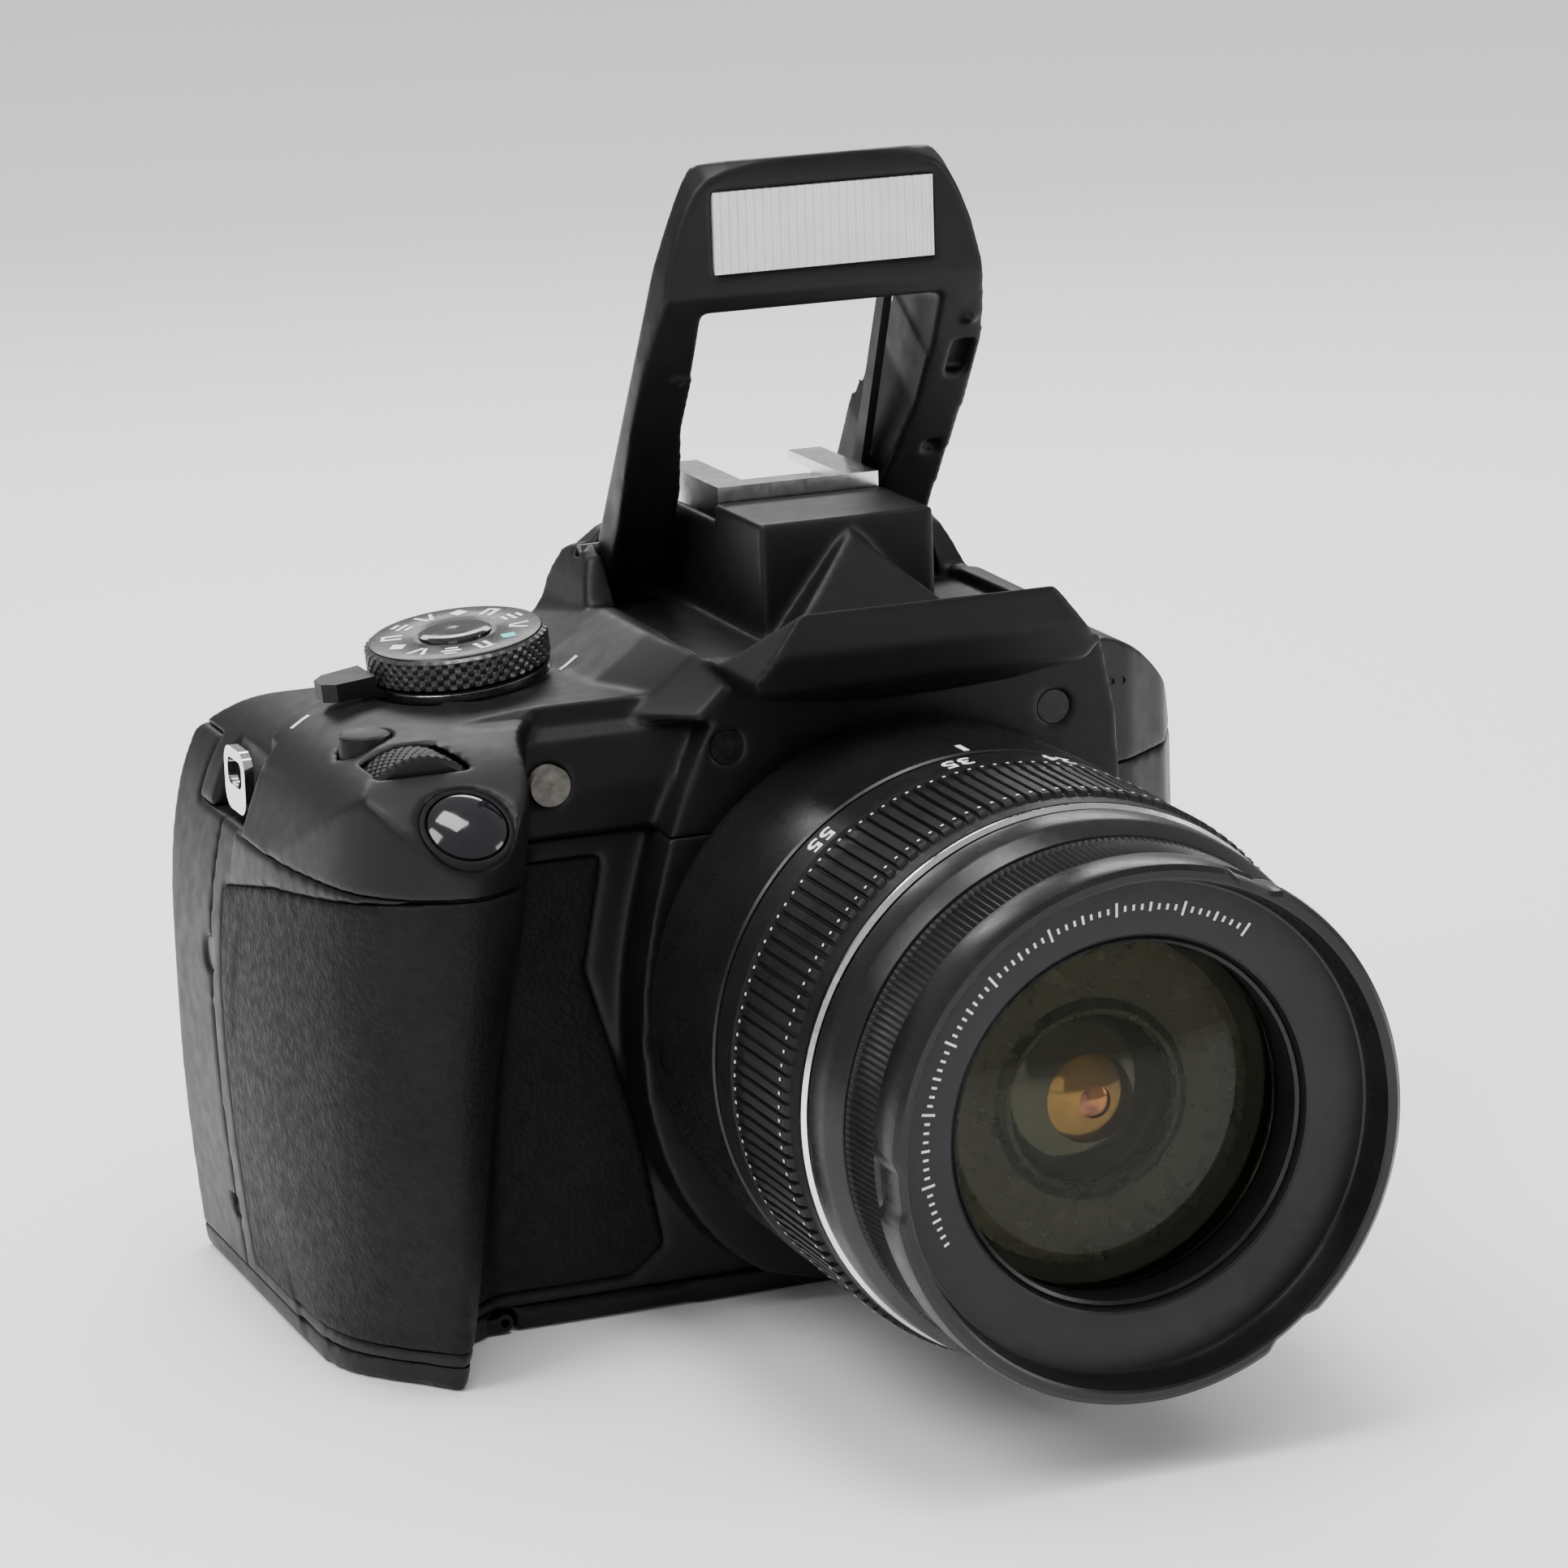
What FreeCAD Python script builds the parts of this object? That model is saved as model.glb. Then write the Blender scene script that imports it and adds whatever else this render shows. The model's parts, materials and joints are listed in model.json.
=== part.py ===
"""A digital single-lens reflex camera with its pop-up flash raised and an 18-55 mm class zoom lens fitted.

Frame: millimetres, +Z up, the lens looks along -Y, and +X is the camera's terminal side. The origin is the mouth of
the tripod socket in the base. Each physical piece is one STEP file in parts/, named after its node.
"""

import FreeCAD
import Part
import math
import os

V = FreeCAD.Vector
X_AXIS, Y_AXIS, Z_AXIS = V(1, 0, 0), V(0, 1, 0), V(0, 0, 1)
PARTS = "parts"

# ---------------------------------------------------------------- driving dimensions
GRIP_SIDE_X = -77.0        # outer side of the grip
TERMINAL_SIDE_X = 52.0     # outer side with the sockets
BACK_Y = 29.0              # rear face of the rear cover
THUMB_Y = 35.0             # rear face of the thumb rest behind the grip
PANEL_Y = -17.0            # front panel beside the lens mount
HOUSING_Y = -24.5          # front of the mount housing
DECK_Z = 78.0              # top deck that carries the dials
WALL = 2.0                 # moulded wall of the covers
SKIN = 1.2                 # thickness of the rubber grip skin
BASE_H = 3.0               # height of the base cover
SEAM_Y = 14.0              # seam between front and rear covers
SEAM_Z = 61.5              # seam between front and top covers

AXIS_Z = 40.0              # optical axis above the base
FLANGE_Y = -26.0           # lens mount flange
REGISTER = 44.0            # flange to image plane
THROAT_R = 27.0            # clear radius of the lens mount

BLOCK_HALF = 11.5          # half width of the hot-shoe block
BLOCK_FRONT_Y = -12.0
BLOCK_TOP_Z = 96.0
SHOE_FRONT_Y, SHOE_Z = 4.2, 93.8   # step down behind the block's front, where the shoe sits
BED_Z = 81.5               # floor of the flash bed round the block
FLASH_PIVOT = V(0, 21.0, 88.0)
FLASH_OPEN_DEG = 57.0      # closed to raised
FLASH_HALF = 21.5          # half width of the flash cover at its hinge
PIN_R = 1.2                # flash hinge pins

CLEAR = 0.3                # gap round moving pieces
FIT = 0.05                 # running clearance on shafts
BUTTON_PROUD = 0.8         # how far a rear button stands out
THREAD_R = 3.2             # quarter-inch tripod thread, as a plain bore
FILTER_R = 29.0            # 58 mm filter thread, as a plain bore

DIAL = V(-45.8, 3.4, 78.2)               # foot of the mode dial and the power lever
DIAL_AXIS = V(-0.1043, -0.0497, 0.9933)  # leans out with the falling deck
DIAL_R = 11.4
WHEEL = V(-61.2, -24.9, 68.2)            # centre of the main dial
WHEEL_R, WHEEL_W = 8.2, 6.4
RELEASE = V(-58.5, -36.0, 69.2)          # centre of the shutter button's face
RELEASE_AXIS = V(0, -0.64, 0.77)
RELEASE_R = 4.9
RELEASE_RING_R = 5.7                     # sunk ring round the shutter button
FLASH_BUTTON = V(-64.2, -15.5, 76.0)
UNLOCK = V(38.5, -20.0, 33.0)            # centre of the lens release button's face
UNLOCK_R = 4.8
LAMP = V(-43.0, -20.5, 69.0)             # red-eye lamp
LAMP_R = 2.5
LCD = (-21.5, 44.5, 9.5, 59.5)           # window in the rear cover: x0, x1, z0, z1
EYE_Z = 80.0                             # height of the viewfinder axis
EYE_HALF_W, EYE_HALF_H = 10.5, 6.5
DIOPTRE = V(-19.0, 31.5, 83.2)
MIRROR_HINGE = V(0, 10.0, 54.5)
MIRROR_LENGTH = 28.0
DOOR = (-69.4, -51.9, -17.5, 23.5)       # battery door: x0, x1, y0, y1
DOOR_HINGE = V(-50.9, 0, 1.3)
FLAP = (9.0, 22.4, 16.3, 45.7)           # terminal cover: y0, y1, z0, z1
FLAP_INNER_X, FLAP_FLOOR_X = 50.4, 50.0  # inside of the cover and floor of its pocket
SWITCH_HEIGHTS = {"focus_switch": 43.0, "stabiliser_switch": 33.5}
ZOOM_REACH = 11.0                        # forward travel of the inner barrel

# name: (x, z, radius) of the rear buttons
REAR_BUTTONS = {"live_view_button": (-29.5, 64.5, 3.0), "lock_button": (-56.0, 63.5, 3.1),
                "focus_point_button": (-65.0, 63.0, 3.1), "exposure_button": (-30.5, 51.0, 3.0),
                "playback_button": (-30.5, 14.5, 3.0), "set_button": (-36.5, 33.0, 4.2)}
KEYS_INNER_R, KEYS_OUTER_R = 4.7, 10.6   # ring of cross keys round the set button
THUMB_EDGE_X = -51.5                     # inner edge of the thumb rest


# ---------------------------------------------------------------- small helpers
def box(x0, x1, y0, y1, z0, z1):
    return Part.makeBox(x1 - x0, y1 - y0, z1 - z0, V(x0, y0, z0))


def cylinder(radius, start, direction, length):
    return Part.makeCylinder(radius, length, V(*start), V(*direction))


def tube(outer, inner, start, direction, length):
    return cylinder(outer, start, direction, length).cut(cylinder(inner, start, direction, length))


def face_of(edges):
    return Part.Face(Part.Wire(edges))


def polygon_edges(points):
    return [Part.makeLine(a, b) for a, b in zip(points, points[1:])]


def spline_edge(points):
    curve = Part.BSplineCurve()
    curve.interpolate(points)
    return curve.toShape()


def prism_y(outline, y0, y1):
    """A closed (x, z) outline, extruded along Y."""
    points = [V(x, y0, z) for x, z in outline]
    return face_of(polygon_edges(points + points[:1])).extrude(V(0, y1 - y0, 0))


def prism_x(outline, x0, x1):
    """A closed (y, z) outline, extruded along X."""
    points = [V(x0, y, z) for y, z in outline]
    return face_of(polygon_edges(points + points[:1])).extrude(V(x1 - x0, 0, 0))


def prism_z(outline, z0, z1):
    """A closed (x, y) outline, extruded along Z."""
    points = [V(x, y, z0) for x, y in outline]
    return face_of(polygon_edges(points + points[:1])).extrude(V(0, 0, z1 - z0))


def round_edges(shape, radius, chosen):
    """Fillets the edges that chosen(edge) accepts."""
    edges = [e for e in shape.Edges if chosen(e)]
    return shape.makeFillet(radius, edges) if edges else shape


def along(direction):
    """Picks straight edges that run along a direction."""
    def test(edge):
        if not isinstance(edge.Curve, Part.Line):
            return False
        return abs(abs(edge.Curve.Direction.dot(direction)) - 1) < 1e-6
    return test


def rounded_box(x0, x1, y0, y1, z0, z1, radius, direction):
    return round_edges(box(x0, x1, y0, y1, z0, z1), radius, along(direction))


def union(shapes):
    result = shapes[0]
    for shape in shapes[1:]:
        result = result.fuse(shape)
    return result.removeSplitter()


def lens_turned(profile):
    """Revolves (distance in front of the flange, radius) points about the optical axis."""
    points = [V(0, FLANGE_Y - d, AXIS_Z + r) for d, r in profile]
    face = face_of(polygon_edges(points + points[:1]))
    return face.revolve(V(0, 0, AXIS_Z), Y_AXIS, 360)


def lens_sector(inner, outer, d0, d1, start_deg, sweep_deg):
    """A sector of a ring about the optical axis, from start_deg above +X, anticlockwise seen from the front."""
    ring = Part.makeCylinder(outer, d1 - d0, V(0, FLANGE_Y - d1, AXIS_Z), Y_AXIS)
    ring = ring.cut(Part.makeCylinder(inner, d1 - d0, V(0, FLANGE_Y - d1, AXIS_Z), Y_AXIS))
    reach = outer * 3
    corners = [(0, AXIS_Z)]
    steps = max(2, int(sweep_deg // 30) + 1)
    for i in range(steps + 1):
        angle = math.radians(start_deg + sweep_deg * i / steps)
        corners.append((reach * math.cos(angle), AXIS_Z + reach * math.sin(angle)))
    return ring.common(prism_y(corners, FLANGE_Y - d1, FLANGE_Y - d0))


def save(node, *solids):
    """Writes one node. Several separate solids go in one compound."""
    found = []
    for shape in solids:
        found += shape.Solids
    shape = found[0] if len(found) == 1 else Part.makeCompound(found)
    shape.exportStep(os.path.join(PARTS, node + ".step"))


# ---------------------------------------------------------------- outer body, with an inset for its cavity
def slab(inset):
    """The main box of the body: its plan, its front outline and its falling deck, crossed."""
    t = inset
    right = TERMINAL_SIDE_X - t
    left = GRIP_SIDE_X + t
    plan = [(left, THUMB_Y - t), (THUMB_EDGE_X - t, THUMB_Y - t), (THUMB_EDGE_X + 3.3 - t, BACK_Y - t),
            (right, BACK_Y - t), (right, 8.5), (48.4 - t, 0), (43.5 - t, -9.3 + t), (36 - t, -15.2 + t),
            (28 - t, -18 + t), (left + 15, PANEL_Y + t),
            (left + 3, -11 + t), (left, 5)]
    block = prism_z(plan, t, 84)
    rear_corner = 5.0
    block = round_edges(block, rear_corner, lambda e: along(Z_AXIS)(e) and e.CenterOfMass.y > BACK_Y - t - 1
                        and not THUMB_EDGE_X - 5 < e.CenterOfMass.x < THUMB_EDGE_X + 5)
    block = round_edges(block, 6.0, lambda e: along(Z_AXIS)(e) and e.CenterOfMass.x > 34 - t
                        and e.CenterOfMass.y < BACK_Y - 10)
    left_side = [V(left + 2.8, -60, t), V(left + 0.8, -60, 20), V(left, -60, 38), V(left + 0.9, -60, 53),
                 V(left + 2.9, -60, 62 - t), V(left + 6.3, -60, 69.2 - t), V(left + 12.5, -60, 74.0 - t),
                 V(left + 22.5, -60, 76.9 - t), V(left + 34.5, -60, DECK_Z - t)]
    right_side = [V(right - 20, -60, DECK_Z - t), V(right - 15.5, -60, 76.2 - t), V(right - 11, -60, 72.8 - t),
                  V(right - 7.2, -60, 68.4 - t), V(right - 3.8, -60, 62 - t), V(right - 1.4, -60, 54 - t),
                  V(right - 0.5, -60, 44)]
    foot = V(right - 1.0, -60, t)
    outline = [spline_edge(left_side), Part.makeLine(left_side[-1], right_side[0]),
               spline_edge(right_side), Part.makeLine(right_side[-1], foot), Part.makeLine(foot, left_side[0])]
    block = block.common(face_of(outline).extrude(V(0, 120, 0)))
    deck = [V(-100, THUMB_Y + 1, 67.5 - t), V(-100, 31.5, 70.6 - t), V(-100, BACK_Y, 72.2 - t), V(-100, 20, 74.9 - t),
            V(-100, 10, 76.8 - t), V(-100, -2, DECK_Z - t)]
    front = V(-100, -60, DECK_Z - t)
    corners = [deck[-1], front, V(-100, -60, 0), V(-100, THUMB_Y + 1, 0), deck[0]]
    return block.common(face_of([spline_edge(deck)] + polygon_edges(corners)).extrude(V(200, 0, 0)))


# height, outer side, most forward point, inner side of the grip
GRIP_SECTIONS = [(0, -74.2, -34.6, -58.5), (12, -75.6, -37.6, -56.8), (36, -76.9, -39.8, -54.5),
                 (58, -75.6, -40.2, -50.5), (80, -74.6, -38.0, -49.0)]


def grip(inset):
    """The hand grip: sections lofted upwards and cut to the slope under the index finger."""
    t = inset
    wires = []
    for z, side, front, inner in GRIP_SECTIONS:
        side, front, inner = side + t, front + t, inner - t
        middle = (side + inner) / 2
        rim = [V(side, 6, z), V(side + 0.3, -11, z), V(side + 1.7, -22, z), V(side + 4.4, front + 8.5, z),
               V(side + 9.6, front + 2.4, z), V(middle + 3.9, front, z), V(inner - 1.6, front + 5.5, z),
               V(inner + 0.8, front + 14, z), V(inner + 3.5, -19 + t, z), V(inner + 9, PANEL_Y + 1.5 + t, z)]
        wires.append(Part.Wire([spline_edge(rim), Part.makeLine(rim[-1], V(inner + 9, 6, z)),
                                Part.makeLine(V(inner + 9, 6, z), rim[0])]))
    body = Part.makeLoft(wires, True, False)
    slope = [V(-90, -41.5 + t, 61.5 - t), V(-90, -38.5 + t, 66.8 - t), V(-90, -33.5 + t, 71.9 - t),
             V(-90, -26, 75.4 - t), V(-90, -16, 77.1 - t), V(-90, 8, DECK_Z - t)]
    corners = [slope[-1], V(-90, 8, t), V(-90, -60, t), V(-90, -60, 55), slope[0]]
    outline = [spline_edge(slope)] + polygon_edges(corners)
    body = body.common(face_of(outline).extrude(V(60, 0, 0)))
    side = GRIP_SIDE_X + t
    shoulder_line = [V(side + 1.5, -60, 61), V(side + 3.3, -60, 66 - t), V(side + 6.1, -60, 71.6 - t),
                     V(side + 10.9, -60, 75.3 - t), V(side + 18.5, -60, 77.3 - t),
                     V(side + 34.5, -60, DECK_Z + 0.3 - t)]
    edges = [shoulder_line[-1], V(-30, -60, DECK_Z + 0.5 - t), V(-30, -60, 0), V(side - 2, -60, 0),
             V(side - 2, -60, 56), shoulder_line[0]]
    return body.common(face_of([spline_edge(shoulder_line)] + polygon_edges(edges)).extrude(V(0, 120, 0)))


def shoulder(inset):
    """The swelling of the top deck above the finger recess, beside the grip."""
    t = inset
    outline = [(PANEL_Y + 3, SEAM_Z - 1 + t), (-19.5 + t, SEAM_Z + 1 + t), (-20.5 + t, 68), (-19.5 + t, 74 - t),
               (-15 + t, 77.2 - t), (-8, DECK_Z - t), (0, DECK_Z - t), (0, SEAM_Z - 1 + t)]
    return prism_x(outline, -52, -20)


def housing(inset):
    """The raised housing that carries the lens mount."""
    t = inset
    left = [V(-19.5 + t, 0, 80.5 - t), V(-25.5 + t, 0, 71), V(-31 + t, 0, 56), V(-34 + t, 0, 38),
            V(-32.5 + t, 0, 24), V(-27.5 + t, 0, 13), V(-19 + t, 0, 5 + t)]
    corners = [left[-1], V(-12, 0, BASE_H + t), V(22 - t, 0, BASE_H + t), V(30 - t, 0, 12 + t),
               V(31 - t, 0, 40), V(30 - t, 0, 70), V(28 - t, 0, 80.5 - t), left[0]]
    face = face_of([spline_edge(left)] + polygon_edges(corners))
    solid = face.extrude(V(0, -10 - HOUSING_Y - t, 0))
    solid.translate(V(0, HOUSING_Y + t, 0))
    return solid


def ruled(sections):
    """Joins closed outlines of (x, y, z) points with flat or twisted faces."""
    wires = [Part.makePolygon([V(*p) for p in points + points[:1]]) for points in sections]
    return Part.makeLoft(wires, True, True)


def hump():
    """The raised bed under the flash, the rear shoulders that hold its hinge, and the hot-shoe block."""
    def bed_section(y, foot, rim, top, low=DECK_Z - 6):
        return [(-foot, y, low), (-foot, y, DECK_Z - 2), (-rim, y, top), (rim, y, top), (foot, y, DECK_Z - 2),
                (foot, y, low)]

    bed = ruled([bed_section(BACK_Y, 35, 26, 80.5), bed_section(8, 37, 25.6, 83.4), bed_section(-8, 36, 25.2, 83.4),
                 bed_section(-18, 31, 22.8, 82.6, DECK_Z - 3), bed_section(HOUSING_Y, 25, 19.8, 81.2, DECK_Z - 2.5)])
    for half, y0, y1 in ((23.1, -15, 30), (22.3, -19, -14), (19.6, -24.4, -18)):
        bed = bed.cut(box(-half, half, y0, y1, BED_Z, 90))
    rear_side = prism_x([(26.3, 70), (BACK_Y + 2.5, 70), (BACK_Y + 2.5, 87), (28.5, 91.5), (26.3, 92)], -24, 24)
    rear_outline = prism_y([(-24, 70), (-23.8, 80), (-22.2, 86), (-18.5, 89.8), (-12, 92), (12, 92), (18.5, 89.8),
                            (22.2, 86), (23.8, 80), (24, 70)], 20, 40)
    cheek_side = prism_x([(10, 78), (BACK_Y, 78), (BACK_Y, 84), (26.5, 88), (21, 89.8), (16.5, 88), (12.5, 83)], -40, 40)
    cheeks = []
    for side in (-1, 1):
        outline = [(22, 78), (22, 89.7), (23.9, 88.8), (25.2, 85.6), (26.3, 81.8), (29.5, 77)]
        cheeks.append(prism_y([(side * x, z) for x, z in outline], 8, BACK_Y).common(cheek_side))
    block = box(-BLOCK_HALF, BLOCK_HALF, BLOCK_FRONT_Y, BACK_Y, 76, BLOCK_TOP_Z)
    block = block.cut(box(-20, 20, SHOE_FRONT_Y, 40, SHOE_Z, 100))
    return union([bed, rear_side.common(rear_outline), block] + cheeks)


def brow():
    """The forehead over the lens, with a rear slope parallel to the closed flash window."""
    outline = [(-20, 76.5), (-30, 77), (-35.8, 80.6), (-37.6, 85.2), (-37.4, 90.4), (-24.2, 82.3), (-20, 82.3)]
    solid = prism_x(outline, -26, 26)
    front = prism_y([(-22.4, 82.0), (-15.8, 91), (15.8, 91), (22.6, 82.4), (21, 80), (13, 77.8), (0, 76.6),
                     (-13, 77.8), (-20.8, 79.6)], -40, -18)
    return solid.common(front)


def nose_wedge():
    """The small pyramid in front of the block, which fills the hollow behind the closed flash head."""
    low, apex, back_y = 80.5, 94.5, BLOCK_FRONT_Y + 1
    a, b, c = V(-15, -23.5, low), V(15, -23.5, low), V(0, BLOCK_FRONT_Y - 0.6, apex)
    d, e = V(-11, back_y, low), V(11, back_y, low)
    top = V(0, back_y, apex)
    faces = [[a, b, c], [a, c, top], [a, top, d], [b, top, c], [b, e, top], [d, top, e], [a, d, e, b]]
    shell = Part.Shell([Part.Face(Part.makePolygon(f + f[:1])) for f in faces])
    return Part.Solid(shell)


# x of the pocket floor, y range, and outer face of the lug plate, on the grip side and the terminal side
LUGS = {-1: (-69.8, 3.0, 19.0, -73.2), 1: (43.0, 6.0, 22.0, 46.8)}


def lug_pocket(sign, margin):
    """The recess in the upper side of the body behind a strap lug. A margin leaves a wall round it."""
    floor, y0, y1, _ = LUGS[sign]
    x0, x1 = sorted((floor - sign * margin, sign * 80))
    return box(x0, x1, y0 - margin, y1 + margin, 61.5 - margin, 73.5 + margin)


# head centre, outward axis
FRONT_SCREWS = [(V(x, HOUSING_Y, 72.0), V(0, -1, 0)) for x in (-21.5, 21.5)]
SIDE_SCREWS = [(V(GRIP_SIDE_X + x, 14.8, z), V(-1, 0, 0)) for x, z in ((0.4, 44.0), (2.1, 11.5))]
BASE_SCREWS = [(V(x, y, 0), V(0, 0, -1)) for x, y in ((-36, -9), (-36, 22), (44, 0), (44, 22), (14, -18))]
SCREW_R = 2.1


def screw(place, axis, radius, spread):
    """A pan-head screw sunk in its counterbore. spread widens it into the hole that takes it."""
    head = cylinder(radius + spread, place - axis * 1.1, axis, 1.1 - 0.2 + spread * 30)
    return head.fuse(cylinder(0.9 + spread, place - axis * 3.6, axis, 3.1))


def screw_holes():
    return [screw(place, axis, SCREW_R, 0.02) for place, axis in FRONT_SCREWS + SIDE_SCREWS + BASE_SCREWS]


def shutter_bore():
    """The well of the shutter button, with a sunk ring round its mouth."""
    well = cylinder(RELEASE_R + 0.1, RELEASE - RELEASE_AXIS * 6, RELEASE_AXIS, 12)
    return well.fuse(cylinder(RELEASE_RING_R, RELEASE - RELEASE_AXIS * 0.7, RELEASE_AXIS, 8))


def on_dial(shape):
    """Leans a shape made about the Z axis at the origin over to the mode dial's axis."""
    moved = shape.copy()
    moved.rotate(V(0, 0, 0), Z_AXIS.cross(DIAL_AXIS), math.degrees(Z_AXIS.getAngle(DIAL_AXIS)))
    moved.translate(DIAL)
    return moved


def rear_face(x):
    """Depth of the back of the body at a place across it."""
    return THUMB_Y if x < THUMB_EDGE_X else BACK_Y


def openings():
    """Everything that is cut out of the covers."""
    x0, x1, z0, z1 = LCD
    cuts = [lug_pocket(-1, 0), lug_pocket(1, 0), shutter_bore()] + screw_holes()
    cuts.append(cylinder(31.02, (0, FLANGE_Y - 1, AXIS_Z), (0, 1, 0), 6))
    cuts.append(box(x0, x1, BACK_Y - 1.3, BACK_Y + 2, z0, z1))
    cuts.append(box(x0 + 3, x1 - 3, BACK_Y - 4, BACK_Y, z0 + 3, z1 - 3))
    cuts.append(box(-EYE_HALF_W, EYE_HALF_W, 20, 35, EYE_Z - EYE_HALF_H, EYE_Z + EYE_HALF_H))
    cuts.append(on_dial(cylinder(3.0 + FIT, (0, 0, -8), (0, 0, 1), 20)))
    cuts.append(on_dial(cylinder(DIAL_R + 0.7, (0, 0, -0.2), (0, 0, 1), 9)))
    cuts.append(on_dial(cylinder(DIAL_R + 1.5, (0, 0, 0.2), (0, 0, 1), 9)))
    cuts.append(cylinder(WHEEL_R + 0.4, WHEEL - Y_AXIS * (WHEEL_W / 2 + CLEAR), (0, 1, 0), WHEEL_W + 2 * CLEAR))
    cuts.append(cylinder(3.3, FLASH_BUTTON - Z_AXIS * 5, (0, 0, 1), 10))
    cuts.append(cylinder(UNLOCK_R + 0.1, (UNLOCK.x, UNLOCK.y - 1, UNLOCK.z), (0, 1, 0), 17))
    cuts.append(cylinder(LAMP_R + FIT, (LAMP.x, LAMP.y - 2, LAMP.z), (0, 1, 0), 6))
    cuts.append(cylinder(2.5, (DIOPTRE.x, DIOPTRE.y - 2, DIOPTRE.z), (0, 1, 0), 4))
    for x, z, radius in REAR_BUTTONS.values():
        if radius < KEYS_INNER_R - 0.6:
            cuts.append(cylinder(radius + 0.1, (x, rear_face(x) - 4, z), (0, 1, 0), 6))
    keys = REAR_BUTTONS["set_button"]
    cuts.append(cylinder(KEYS_OUTER_R + 0.1, (keys[0], BACK_Y - 4, keys[1]), (0, 1, 0), 6))
    y0, y1, z0, z1 = FLAP
    cuts.append(box(FLAP_FLOOR_X, 60, y0 - 0.6, y1 + 0.3, z0 - 0.3, z1 + 0.3))
    x0, x1, y0, y1 = DOOR
    cuts.append(box(x0 - 0.3, x1 + 2.6, y0 - 0.3, y1 + 0.3, -1, 2.7))
    cuts.append(box(x0 + 1.2, x1 + 0.2, y0 + 3, y1 - 1.5, -1, 3.2))
    cuts.append(cylinder(6.02, (0, 0, -1), (0, 0, 1), 6))
    for side in (-1, 1):
        cuts.append(cylinder(PIN_R + FIT, V(side * 21.9, 0, 0) + FLASH_PIVOT, (side, 0, 0), 2.2))
    return cuts


def rubber_skins():
    """The grip skin, wrapped from the side of the body to the panel beside the mount, and the thumb pad."""
    shape = union([slab(0), grip(0)])
    core = union([slab(SKIN), grip(SKIN)])
    front = prism_y([(-90, 4.9), (-34.1, 4.8), (-29.6, 8.2), (-32.5, 24), (-38.5, 44.6), (-35.3, 60.3),
                     (-50, 61.2), (-90, 61.2)], -60, 9.4)
    side = prism_x([(-60, 4.9), (9.4, 4.9), (9.4, 54), (-10, 58), (-38, 61.2), (-60, 61.2)], -90, -20)
    wrap = shape.cut(core).common(front).common(side).cut(housing(0)).cut(shoulder(0))
    wrap = max(wrap.Solids, key=lambda solid: solid.Volume)
    thumb = rounded_box(-71, -54, THUMB_Y - 1, THUMB_Y + 1.4, 22, 56, 5, Y_AXIS)
    thumb = round_edges(thumb, 1.0, lambda e: e.CenterOfMass.y > THUMB_Y + 1.39)
    return wrap, thumb


def covers():
    """Front, rear, top and base covers and the rubber, cut from one hollow body."""
    outer = union([slab(0), grip(0), shoulder(0), housing(0), hump(), brow(), nose_wedge()])
    cavity = union([slab(WALL), grip(WALL), shoulder(WALL), housing(WALL)])
    cavity = cavity.fuse(box(-BLOCK_HALF + WALL, BLOCK_HALF - WALL, BLOCK_FRONT_Y + WALL, 26.3, 70, 92))
    cavity = cavity.cut(lug_pocket(-1, WALL)).cut(lug_pocket(1, WALL))
    shell = outer.cut(cavity)
    shell = shell.cut(Part.makeCompound(openings()))
    wrap, thumb = rubber_skins()
    shell = shell.cut(wrap).cut(thumb)
    far = 120
    rear_zone = union([box(-far, far, SEAM_Y, far, BASE_H, SEAM_Z), box(-far, far, 25, far, SEAM_Z - 1, 69),
                       box(-23.6, 23.6, 26.3, far, 68, 93)])
    base_zone = box(-far, far, -far, far, -1, BASE_H)
    front_zone = box(-far, far, -far, SEAM_Y, BASE_H, SEAM_Z)
    pieces = {"base_cover": shell.common(base_zone), "front_cover": shell.common(front_zone),
              "rear_cover": shell.common(rear_zone)}
    pieces["top_cover"] = shell.cut(base_zone).cut(front_zone).cut(rear_zone)
    for y in (DOOR[2] - 1, DOOR[3] - 1.2):
        pin = cylinder(0.5, (DOOR_HINGE.x, y, DOOR_HINGE.z), (0, 1, 0), 2.2)
        pieces["base_cover"] = pieces["base_cover"].fuse(pin)
    for node, shape in pieces.items():
        save(node, max(shape.Solids, key=lambda solid: solid.Volume))
    save("grip_rubber", wrap)
    save("thumb_rubber", thumb)
    return outer


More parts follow.
